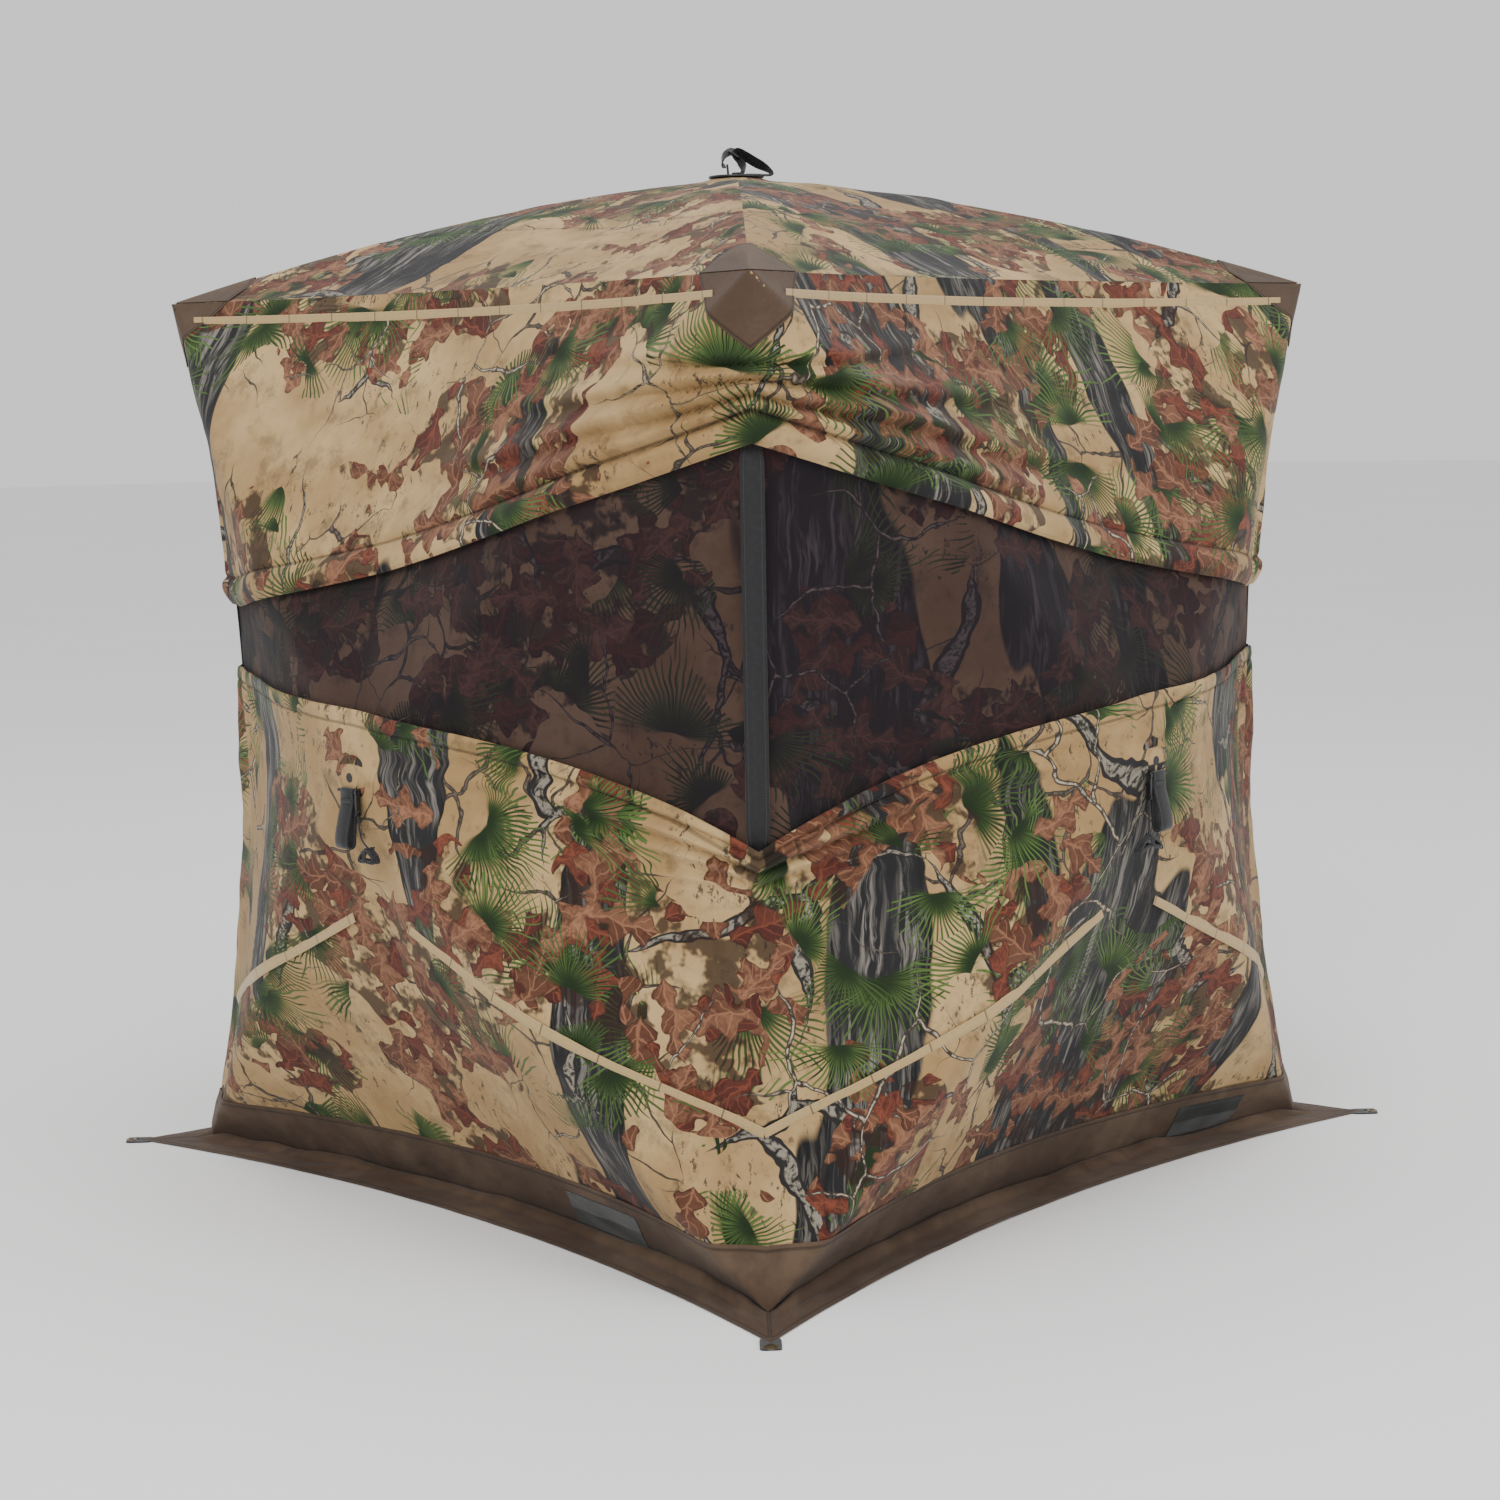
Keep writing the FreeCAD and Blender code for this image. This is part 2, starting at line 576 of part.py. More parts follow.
def hank(x, top, wide, tall, thick_by, sag):
    """A hank of line as one closed solid: a flat bundle whose middle is tied up higher than its ends."""
    z = BAR_HEIGHT
    points = [V(x - wide / 2, top - sag, z), V(x, top, z), V(x + wide / 2, top - sag, z)]
    spine = Part.Wire([Part.Arc(*points).toShape()])
    start = points[0]
    ahead = spine.Edges[0].tangentAt(spine.Edges[0].FirstParameter)
    up = V(0, 0, 1).cross(ahead).normalize()
    corners = [start + up * (tall / 2) * a + V(0, 0, thick_by / 2) * b for a, b in
               ((1, 0.5), (0.5, 1), (-0.5, 1), (-1, 0.5), (-1, -0.5), (-0.5, -1), (0.5, -1), (1, -0.5))]
    section = Part.makePolygon([*corners, corners[0]])
    return spine.makePipeShell([section], True, True)


# Each line starts at its clip's eye and meets its hank: clip's side, eye, then the route below it
LINE_ROUTES = {
    "front": (0, 23.0, [(0, 0), (1.5, -22), (7, -40), (24, -52)], (42.0, 24.0, 15.0, 8.0)),
    "right": (1, -23.0, [(0, 0), (-2.0, -20), (1.5, -41), (-1.5, -60)], (66.0, 20.0, 15.0, 16.0)),
}
EYE_DROP = BAR_DROP + CLIP_SPAN + CLIP_R
for name, (k, side, route, (wide, tall, deep, sag)) in LINE_ROUTES.items():
    clip = snap_clip(side, -BAR_DROP)
    points = [V(side + dx, -EYE_DROP + dy, BAR_HEIGHT) for dx, dy in route]
    tube = line_tube(name, points, LINE_R)
    end = points[-1]
    bundle = hank(end.x, end.y - tall / 2, wide, tall, deep, sag)
    tube = tube.cut(bundle)
    for label, shape in (("line_clip_", clip), ("guy_line_", tube), ("guy_hank_", bundle)):
        save(stationed(shape, turn_of(k)), label + name)
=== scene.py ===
import math

import bmesh
import bpy
import numpy as np
from bpy.props import FloatProperty, FloatVectorProperty, IntProperty, PointerProperty
from mathutils import Matrix, Vector


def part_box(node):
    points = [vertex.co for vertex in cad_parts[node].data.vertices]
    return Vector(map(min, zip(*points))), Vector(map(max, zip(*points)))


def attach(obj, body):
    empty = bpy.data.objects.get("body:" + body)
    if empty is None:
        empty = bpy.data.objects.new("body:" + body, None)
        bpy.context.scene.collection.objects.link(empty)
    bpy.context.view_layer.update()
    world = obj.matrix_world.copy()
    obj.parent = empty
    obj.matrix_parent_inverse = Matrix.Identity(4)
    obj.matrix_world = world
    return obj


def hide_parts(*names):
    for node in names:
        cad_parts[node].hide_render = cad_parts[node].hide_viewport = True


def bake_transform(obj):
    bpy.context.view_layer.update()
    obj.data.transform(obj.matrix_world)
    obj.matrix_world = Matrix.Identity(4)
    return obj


bl_info = {
    "name": "Pop up ground blind",
    "version": (1, 0, 0),
    "blender": (4, 5, 0),
    "location": "3D View > Sidebar > Ground Blind",
    "description": "Cloth, webbing, rods, lines and finishes of a square pop up ground blind",
    "category": "Object",
}

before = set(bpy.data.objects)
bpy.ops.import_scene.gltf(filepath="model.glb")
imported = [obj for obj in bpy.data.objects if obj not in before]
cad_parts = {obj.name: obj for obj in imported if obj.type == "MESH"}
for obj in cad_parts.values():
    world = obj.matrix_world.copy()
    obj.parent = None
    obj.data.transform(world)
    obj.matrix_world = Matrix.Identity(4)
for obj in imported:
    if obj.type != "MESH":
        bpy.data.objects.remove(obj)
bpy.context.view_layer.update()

# The shell's measures, from the frame
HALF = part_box("roof_cloth")[1].x
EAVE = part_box("wall_upper_front")[1].z
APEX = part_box("roof_handle")[0].z - 0.004
BAR_FACE = 0.0125  # the pull strap bar's outer face stands this far over the peak of a wall
HUB_OUT = -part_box("hub_cap_front")[0].y - HALF - BAR_FACE
BAND_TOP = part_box("foot_band")[1].z
SKIRT_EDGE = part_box("ground_skirt")[1].x
MID = EAVE / 2
WALLS = ("front", "right", "back", "left")
SIDES = ("bottom", "right", "top", "left")
ROLL = 0.0035  # radius of the turn at a cloth's free edge
OVER = 0.0022  # a piece sewn over the cloth stands this far off it
MESH_BACK = 0.008  # the window mesh hangs this far behind the wall's surface
UPPER_CUT = (0.35, 0.80)  # the upper walls are cut from another place of the print than the lower ones
STRAP_LEVEL = 0.010  # the pull strap's bar and the guy line lie this far over a wall's peak


def paint(red, green, blue):
    """A display colour, 0 to 255, as the linear colour that a shader takes."""
    shade = np.array([red, green, blue]) / 255
    linear = np.where(shade < 0.04045, shade / 12.92, ((shade + 0.055) / 1.055) ** 2.4)
    return tuple(float(x) for x in linear)


def length_property(name, about, default):
    return FloatProperty(name=name, description=about, default=default, min=0.0, unit="LENGTH")


def colour_property(name, about, default):
    return FloatVectorProperty(name=name, description=about, default=default, size=3, min=0.0, max=1.0, subtype="COLOR")


class BlindSizes(bpy.types.PropertyGroup):
    rod_bow: length_property("Rod bow", "How far the bent rods lift the cloth over a straight slope", 0.032)
    side_pull: length_property("Side pull", "Inward curve of the corners at mid height", 0.064)
    eave_pull: length_property("Eave pull", "Inward curve of the eaves at their middles", 0.085)
    hem_pull: length_property("Hem pull", "Inward curve of the foot at its middles", 0.106)
    cloth: length_property("Cloth", "Thickness of the coated cloth", 0.0012)
    hem: length_property("Window hem", "Width of the hem at the foot of an upper wall", 0.048)
    sill_hem: length_property("Sill hem", "Width of the hem at the top of a lower wall", 0.022)
    stand: length_property("Flap stand", "How far a wall's free edge stands off the mesh", 0.008)
    ridge: FloatProperty(name="Ridge", description="Width of the rounded ridge over a rod, as a share of half a panel",
                         default=0.030, min=0.001)
    strip: length_property("Brush strip", "Width of the loop strips for brush", 0.020)
    webbing: length_property("Webbing", "Thickness of the webbing", 0.002)
    corner_strap: length_property("Corner webbing", "Width of the webbing down the corners", 0.038)
    pull_strap: length_property("Pull strap", "Width of the pull straps' webbing", 0.034)
    patch: length_property("Corner patch", "Reach of the brown patches along the eaves", 0.150)
    line: length_property("Guy line", "Diameter of the guy lines", 0.003)
    cell: length_property("Cell", "Size of a cloth mesh's cells", 0.010)
    seed: IntProperty(name="Seed", description="Seed of the creases in the cloth", default=7)


class BlindColours(bpy.types.PropertyGroup):
    sand: colour_property("Sand", "Ground of the woodland print", paint(152, 122, 80))
    sand_light: colour_property("Light sand", "Light patches of the ground", paint(184, 155, 110))
    bark: colour_property("Bark", "Dark of the printed trunks", paint(30, 29, 31))
    bark_light: colour_property("Light bark", "Light streaks of the printed trunks", paint(122, 116, 108))
    rust: colour_property("Rust", "Printed oak leaves", paint(80, 46, 32))
    rust_light: colour_property("Light rust", "Lit printed oak leaves", paint(150, 106, 78))
    pine: colour_property("Pine", "Dark printed needles", paint(22, 38, 12))
    pine_light: colour_property("Light pine", "Lit printed needles", paint(82, 108, 50))
    brown: colour_property("Brown", "Skirt, foot band and corner patches", paint(70, 52, 38))
    strip: colour_property("Strip", "Loop strips for brush", paint(188, 160, 112))
    black: colour_property("Black", "Webbing, line and mouldings", paint(26, 26, 28))
    lining: colour_property("Lining", "Inside of the coated cloth", paint(24, 24, 26))


# Finishes


class Finish:
    """A material being written. Each method adds one node and gives its output."""

    def __init__(self, name, **sockets):
        self.material = bpy.data.materials.new(name)
        self.material.use_nodes = True
        self.tree = self.material.node_tree
        self.tree.nodes.clear()
        output = self.tree.nodes.new("ShaderNodeOutputMaterial")
        self.shader = self.tree.nodes.new("ShaderNodeBsdfPrincipled")
        self.tree.links.new(self.shader.outputs[0], output.inputs[0])
        for socket, value in sockets.items():
            self.shader.inputs[socket.replace("_", " ")].default_value = value

    def add(self, kind, inputs, **settings):
        node = self.tree.nodes.new("ShaderNode" + kind)
        for name, value in settings.items():
            setattr(node, name, value)
        for socket, value in inputs.items():
            self.put(node.inputs[socket], value)
        return node

    def put(self, socket, value):
        if isinstance(value, bpy.types.NodeSocket):
            self.tree.links.new(value, socket)
        elif isinstance(value, tuple) and len(value) == 3 and socket.type == "RGBA":
            socket.default_value = (*value, 1.0)
        else:
            socket.default_value = value

    def cut(self):
        """Place on the cut cloth or webbing in metres, from the UV map."""
        return self.add("UVMap", {}, uv_map="cut").outputs[0]

    def space(self):
        return self.add("TexCoord", {}).outputs["Object"]

    def scaled(self, at, scale, move=(0.0, 0.0, 0.0), turn=0.0):
        inputs = {"Vector": at, "Scale": scale, "Location": move, "Rotation": (0.0, 0.0, turn)}
        return self.add("Mapping", inputs).outputs[0]

    def math(self, how, a, b=0.0, c=0.0):
        return self.add("Math", {0: a, 1: b, 2: c}, operation=how).outputs[0]

    def vector(self, how, a, b):
        return self.add("VectorMath", {0: a, 1: b}, operation=how).outputs[0]

    def parts(self, vector):
        return self.add("SeparateXYZ", {0: vector}).outputs

    def noise(self, at, scale, detail=2.0, rough=0.5, distort=0.0):
        inputs = {"Vector": at, "Scale": scale, "Detail": detail, "Roughness": rough, "Distortion": distort}
        return self.add("TexNoise", inputs, noise_dimensions="2D").outputs[0]

    def solid_noise(self, at, scale, detail=2.0, rough=0.5):
        inputs = {"Vector": at, "Scale": scale, "Detail": detail, "Roughness": rough}
        return self.add("TexNoise", inputs).outputs[0]

    def warped(self, at, scale, reach):
        """The place moved about by up to half of reach, so that edges drawn on it look torn or grown."""
        inputs = {"Vector": at, "Scale": scale, "Detail": 2.0}
        colour = self.add("TexNoise", inputs, noise_dimensions="2D").outputs[1]
        off = self.vector("SUBTRACT", colour, (0.5, 0.5, 0.5))
        inputs = {0: off, "Scale": reach}
        off = self.add("VectorMath", inputs, operation="SCALE").outputs[0]
        return self.vector("ADD", at, off)

    def cells(self, at, scale, feature="F1"):
        inputs = {"Vector": at, "Scale": scale}
        return self.add("TexVoronoi", inputs, voronoi_dimensions="2D", feature=feature).outputs

    def step(self, value, low, high):
        """0 at low and 1 at high, with a smooth change between."""
        inputs = {0: value, 1: low, 2: high, 3: 0.0, 4: 1.0}
        return self.add("MapRange", inputs, interpolation_type="SMOOTHSTEP").outputs[0]

    def mix(self, share, a, b):
        return self.add("Mix", {0: share, 6: a, 7: b}, data_type="RGBA").outputs[2]

    def darker(self, share, colour, to=0.55):
        """The colour brought down to a part of itself by share."""
        inputs = {0: share, 6: colour, 7: (to, to, to)}
        return self.add("Mix", inputs, data_type="RGBA", blend_type="MULTIPLY").outputs[2]

    def bump(self, height, depth, below=None):
        inputs = {"Height": height, "Distance": depth, "Strength": 1.0}
        node = self.add("Bump", inputs)
        if below is not None:
            self.put(node.inputs["Normal"], below)
        return node.outputs[0]

    def done(self, colour=None, rough=None, normal=None):
        for socket, value in (("Base Color", colour), ("Roughness", rough), ("Normal", normal)):
            if value is not None:
                self.put(self.shader.inputs[socket], value)
        return self.material


def grown(f, at, scale, share, shift):
    """Where a kind of plant grows: patches of noise with ragged edges that cover a share of the cloth."""
    moved = f.scaled(at, (1.0, 1.0, 1.0), (*shift, 0.0))
    ragged = f.math("MULTIPLY_ADD", f.noise(moved, 16.0, 1.0), 0.10, f.noise(moved, scale, 1.0))
    return f.math("GREATER_THAN", ragged, 0.69 - 0.28 * share)


def turned_cell(f, at, scale, shift, reach):
    """A cell's own random colour, and the place inside it: turned at random, in lengths of reach."""
    moved = f.scaled(at, (1.0, 1.0, 1.0), (*shift, 0.0))
    cell = f.cells(moved, scale)
    pick = f.parts(cell["Color"])
    local = f.vector("SUBTRACT", moved, cell["Position"])
    turned = f.add("VectorRotate", {"Vector": local, "Angle": f.math("MULTIPLY", pick[0], 6.28)},
                   rotation_type="Z_AXIS").outputs[0]
    return pick, turned, f.parts(f.scaled(turned, (1 / reach, 1 / reach, 1.0)))


def printed_leaves(f, ground, at, scale, shift, reach, lobes, dark, light, here):
    """Oak leaves, one to a cell: inside where |y| is under (1 - x^2) (0.36 + 0.22 cos(lobes x)), in leaf lengths."""
    pick, turned, place = turned_cell(f, f.warped(at, 26.0, 0.026), scale, shift, reach)
    across = f.math("ABSOLUTE", place[1])
    lobe = f.math("MULTIPLY_ADD", f.math("COSINE", f.math("MULTIPLY", place[0], lobes)), 0.20, 0.36)
    width = f.math("MULTIPLY", f.math("SUBTRACT", 1.0, f.math("MULTIPLY", place[0], place[0])), lobe)
    depth = f.math("SUBTRACT", width, across)
    inside = f.math("MULTIPLY", f.step(depth, 0.0, 0.03), here)
    mottle = f.step(f.noise(turned, 48.0, 3.0, 0.7), 0.34, 0.70)
    side = f.math("MULTIPLY", f.math("GREATER_THAN", place[1], 0.0), 0.35)
    tone = f.math("MULTIPLY", mottle, f.math("MULTIPLY_ADD", pick[2], 0.9, 0.1))
    colour = f.mix(f.math("ADD", f.math("MULTIPLY", tone, 0.75), f.math("MULTIPLY", side, pick[1])), dark, light)
    slant = f.math("MULTIPLY", f.math("SUBTRACT", place[0], f.math("MULTIPLY", across, 1.1)), 21.0)
    vein = f.math("MAXIMUM", f.step(f.math("SINE", slant), 0.88, 0.99), f.step(across, 0.035, 0.012))
    colour = f.mix(f.math("MULTIPLY", vein, 0.6), colour, light)
    colour = f.darker(f.math("MULTIPLY", f.step(depth, 0.10, 0.0), 0.9), colour, 0.28)
    return f.mix(inside, ground, colour)


def printed_needles(f, ground, at, scale, shift, reach, count, dark, light, here):
    """Sprays of pine needles: rays about a cell's middle, inside where |sin(count a / 2)| 2 r / count is under half a
    needle's width, over a fan to one side."""
    pick, turned, place = turned_cell(f, f.warped(at, 8.0, 0.035), scale, shift, reach)
    away = f.math("SQRT", f.math("ADD", f.math("MULTIPLY", place[0], place[0]), f.math("MULTIPLY", place[1], place[1])))
    angle = f.math("ARCTAN2", place[1], place[0])
    ray = f.math("ABSOLUTE", f.math("SINE", f.math("MULTIPLY", angle, count / 2)))
    gap = f.math("MULTIPLY", ray, f.math("MULTIPLY", away, 2 / count))
    ragged = f.add("TexNoise", {"W": angle, "Scale": count * 0.31, "Detail": 0.0}, noise_dimensions="1D").outputs[0]
    end = f.math("MULTIPLY_ADD", ragged, 0.9, 0.40)
    fan = f.step(f.math("COSINE", angle), -0.25, 0.15)
    spread = f.math("MULTIPLY", f.math("MULTIPLY", f.step(away, end, f.math("SUBTRACT", end, 0.10)), here), fan)
    needle = f.step(gap, 0.015, 0.008)
    core = f.math("MULTIPLY", f.step(away, 0.34, 0.10), 0.9)
    lit = f.math("MULTIPLY", needle, f.step(ragged, 0.35, 0.60))
    lit = f.math("MULTIPLY", lit, f.math("MULTIPLY_ADD", pick[2], 0.6, 0.4))
    colour = f.mix(f.math("MULTIPLY", lit, f.step(away, 0.08, 0.40)), dark, light)
    return f.mix(f.math("MULTIPLY", f.math("MAXIMUM", needle, core), spread), ground, colour)


def printed_branches(f, ground, at, scale, shift, thick, grown_scale, dark, light):
    """Branches on the edges between warped cells, thick in places and gone in others, light along their middles."""
    moved = f.scaled(f.warped(f.warped(at, 3.0, 0.16), 17.0, 0.03), (1.0, 1.0, 1.0), (*shift, 0.0))
    edge = f.math("DIVIDE", f.cells(moved, scale, "DISTANCE_TO_EDGE")["Distance"], scale)
    size = f.math("MULTIPLY", f.step(f.noise(moved, grown_scale, 1.0), 0.46, 0.68), thick)
    inside = f.step(f.math("SUBTRACT", size, edge), 0.0, 0.0012)
    core = f.step(f.math("SUBTRACT", f.math("MULTIPLY", size, 0.62), edge), 0.0, 0.0025)
    rough = f.noise(moved, 90.0, 2.0, 0.7)
    colour = f.mix(f.math("MULTIPLY", core, f.step(rough, 0.35, 0.60)), dark, light)
    return f.mix(inside, ground, colour)


def printed_trunks(f, ground, at, shift, dark, light):
    """Trunks: upright blobs of stretched noise, filled with streaks of bark and shaded down one edge."""
    leaning = f.scaled(f.warped(at, 4.0, 0.05), (4.6, 0.95, 1.0), (*shift, 0.0), 0.10)
    blob = f.noise(leaning, 1.0, 1.5, 0.4)
    inside = f.step(blob, 0.575, 0.585)
    streaks = f.noise(f.scaled(f.warped(at, 14.0, 0.015), (95.0, 9.0, 1.0)), 1.0, 3.0, 0.65, 0.6)
    plates = f.noise(f.scaled(at, (26.0, 5.0, 1.0)), 1.0, 2.0)
    lit = f.math("MULTIPLY", f.step(streaks, 0.44, 0.66), f.step(plates, 0.30, 0.62))
    colour = f.mix(lit, dark, light)
    colour = f.darker(f.math("MULTIPLY", f.step(blob, 0.64, 0.58), 0.9), colour, 0.32)
    return f.mix(inside, ground, colour)


def woodland(f, at, colours):
    """The print: mottled sand, then trunks, branches, litter, leaves and needles laid over each other. Each layer is
    given its scale in cells a metre, its shift, and the reach of one leaf, spray or branch in metres."""
    sand = f.mix(f.step(f.noise(at, 3.2, 5.0, 0.62), 0.34, 0.66), tuple(colours.sand), tuple(colours.sand_light))
    smudge = f.step(f.noise(at, 13.0, 5.0, 0.72), 0.50, 0.70)
    sand = f.darker(f.math("MULTIPLY", smudge, 0.75), sand, 0.50)
    flecks = f.step(f.noise(f.scaled(at, (1.0, 0.5, 1.0)), 60.0, 4.0, 0.75), 0.585, 0.66)
    specks = f.math("MULTIPLY", flecks, f.step(f.noise(at, 5.2, 2.0), 0.47, 0.56))
    sand = f.mix(f.math("MULTIPLY", specks, 0.85), sand, paint(54, 46, 40))
    bark, bark_light = tuple(colours.bark), tuple(colours.bark_light)
    rust, rust_light = tuple(colours.rust), tuple(colours.rust_light)
    pine, pine_light = tuple(colours.pine), tuple(colours.pine_light)
    twig, lichen = paint(52, 44, 38), paint(176, 164, 142)
    layer = printed_branches(f, sand, at, 8.0, (1.3, 0.7), 0.0048, 3.0, twig, paint(98, 86, 74))
    layer = printed_trunks(f, layer, at, (3.1, 5.2), bark, bark_light)
    layer = printed_branches(f, layer, at, 3.1, (0.4, 2.9), 0.019, 2.2, paint(34, 31, 31), paint(134, 126, 112))
    pines, more_pines = grown(f, at, 2.6, 0.62, (3.3, 8.1)), grown(f, at, 2.6, 0.52, (3.3, 8.1))
    layer = printed_needles(f, layer, at, 4.6, (2.7, 4.4), 0.150, 62, pine, pine_light, pines)
    litter = grown(f, at, 3.0, 0.50, (0.0, 0.0))
    under = f.math("MULTIPLY", litter, f.step(f.noise(at, 17.0, 3.0, 0.6), 0.44, 0.56))
    layer = f.mix(f.math("MULTIPLY", under, 0.85), layer, paint(40, 24, 18))
    layer = printed_leaves(f, layer, at, 9.5, (0.9, 0.2), 0.070, 8.0, paint(66, 30, 24), paint(124, 66, 46), litter)
    layer = printed_leaves(f, layer, at, 8.2, (5.2, 1.7), 0.078, 9.5, rust, rust_light, litter)
    layer = printed_needles(f, layer, at, 5.6, (6.1, 0.8), 0.125, 50, pine, pine_light, more_pines)
    lone = grown(f, at, 3.1, 0.26, (7.1, 1.9))
    layer = printed_leaves(f, layer, at, 5.4, (2.2, 7.7), 0.072, 9.0, rust, rust_light, lone)
    layer = printed_branches(f, layer, at, 5.2, (7.7, 3.3), 0.0046, 2.6, twig, lichen)
    return layer


def crinkle(f, at, scale):
    """Sharp small creases: one minus twice the distance of two noises from their middles."""
    one = f.math("ABSOLUTE", f.math("SUBTRACT", f.noise(at, scale, 2.0, 0.5, 0.4), 0.5))
    turned = f.scaled(at, (1.0, 1.7, 1.0), (4.0, 9.0, 0.0), 0.7)
    two = f.math("ABSOLUTE", f.math("SUBTRACT", f.noise(turned, scale, 2.0), 0.5))
    return f.math("SUBTRACT", 1.0, f.math("MULTIPLY", f.math("ADD", one, two), 2.0))


def weave(f, at, pitch):
    """Threads over and under: the product of two sines at right angles."""
    place = f.parts(at)
    turns = 2 * math.pi / pitch
    return f.math("MULTIPLY", f.math("SINE", f.math("MULTIPLY", place[0], turns)),
                  f.math("SINE", f.math("MULTIPLY", place[1], turns)))


def seam_groove_painted_shade(f, colour):
    """Stitching along a seam, from the piece's own distance to it: a groove, darkened with painted shade."""
    off = f.math("ABSOLUTE", f.add("Attribute", {}, attribute_name="seam").outputs["Fac"])
    groove = f.step(off, 0.0034, 0.0008)
    # painted shade: the seam's groove is darkened where shade falls in it
    return f.darker(f.math("MULTIPLY", groove, 0.8), colour, 0.45), groove


def camouflage_finish(colours):
    """The printed cloth: a little worn in patches, with its seams, weave and small creases."""
    f = Finish("camouflage_cloth", Roughness=0.78, Sheen_Weight=0.07, Sheen_Roughness=0.5, Specular_IOR_Level=0.2)
    at = f.cut()
    colour = woodland(f, at, colours)
    worn = f.step(f.noise(at, 1.6, 4.0, 0.6), 0.35, 0.75)
    colour = f.darker(f.math("MULTIPLY", worn, 0.22), colour, 0.72)
    # the seams' grooves get painted shade
    colour, groove = seam_groove_painted_shade(f, colour)
    height = f.math("SUBTRACT", crinkle(f, at, 11.0), f.math("MULTIPLY", groove, 0.9))
    normal = f.bump(weave(f, at, 0.0011), 0.00006, f.bump(height, 0.0016))
    return f.done(colour, f.math("MULTIPLY_ADD", worn, 0.10, 0.70), normal)


def mesh_finish(colours):
    """The window's fine mesh: the print dimmed to a dark purple grey, partly the net's own colour and partly painted
    shade of the dark inside seen through it, with the net's threads and painted shade in the holes between them.
    """
    f = Finish("see_through_mesh", Roughness=0.85, Sheen_Weight=0.05, Sheen_Roughness=0.5, Specular_IOR_Level=0.12)
    at = f.cut()
    colour = woodland(f, f.scaled(at, (1.0, 1.0, 1.0), (0.45, 1.37, 0.0)), colours)
    # dimming: the net's own colour together with painted shade of the dark inside behind it
    inputs = {0: 1.0, 6: colour, 7: paint(150, 140, 158)}
    colour = f.add("Mix", inputs, data_type="RGBA", blend_type="MULTIPLY").outputs[2]
    colour = f.mix(0.52, colour, paint(42, 36, 41))
    place = f.parts(at)
    turns = 2 * math.pi / 0.0016
    holes = f.math("MAXIMUM", f.math("SINE", f.math("MULTIPLY", place[0], turns)),
                   f.math("SINE", f.math("MULTIPLY", place[1], turns)))
    # painted shade: the holes between the threads are darkened as the dark inside seen through them
    colour = f.darker(f.step(holes, 0.75, -0.2), colour, 0.55)
    return f.done(colour, None, f.bump(holes, 0.00008, f.bump(crinkle(f, at, 7.0), 0.0009)))


def brown_finish(colours):
    """Plain brown cloth, dusty in patches."""
    f = Finish("brown_cloth", Roughness=0.7, Sheen_Weight=0.08, Sheen_Roughness=0.5, Specular_IOR_Level=0.25)
    at = f.cut()
    dusty = f.step(f.noise(at, 5.0, 5.0, 0.65), 0.40, 0.72)
    colour = f.mix(f.math("MULTIPLY", dusty, 0.35), tuple(colours.brown), paint(120, 100, 80))
    colour = f.darker(f.step(f.noise(at, 38.0, 3.0), 0.45, 0.75), colour, 0.86)
    # the seams' grooves get painted shade
    colour, groove = seam_groove_painted_shade(f, colour)
    height = f.math("SUBTRACT", crinkle(f, at, 13.0), f.math("MULTIPLY", groove, 0.9))
    normal = f.bump(weave(f, at, 0.0013), 0.00010, f.bump(height, 0.0013))
    return f.done(colour, f.math("MULTIPLY_ADD", dusty, 0.15, 0.62), normal)


def cover_finish(colours):
    """The print again on the caps, placed by x + y along the walls and z up them."""
    f = Finish("cap_cover", Roughness=0.8, Specular_IOR_Level=0.25)
    place = f.parts(f.space())
    at = f.add("CombineXYZ", {0: f.math("ADD", place[0], place[1]), 1: place[2]}).outputs[0]
    return f.done(woodland(f, at, colours), None, f.bump(weave(f, at, 0.0011), 0.00006))


def lining_finish(colours):
    """The black coating inside: a faint gloss over the weave, with grey rubbed creases."""
    f = Finish("black_lining", Roughness=0.5, Specular_IOR_Level=0.4)
    at = f.cut()
    rubbed = f.step(crinkle(f, at, 9.0), 0.80, 0.97)
    colour = f.mix(f.math("MULTIPLY", rubbed, 0.3), tuple(colours.lining), paint(62, 62, 64))
    return f.done(colour, f.math("MULTIPLY_ADD", rubbed, 0.2, 0.42), f.bump(crinkle(f, at, 9.0), 0.0012))


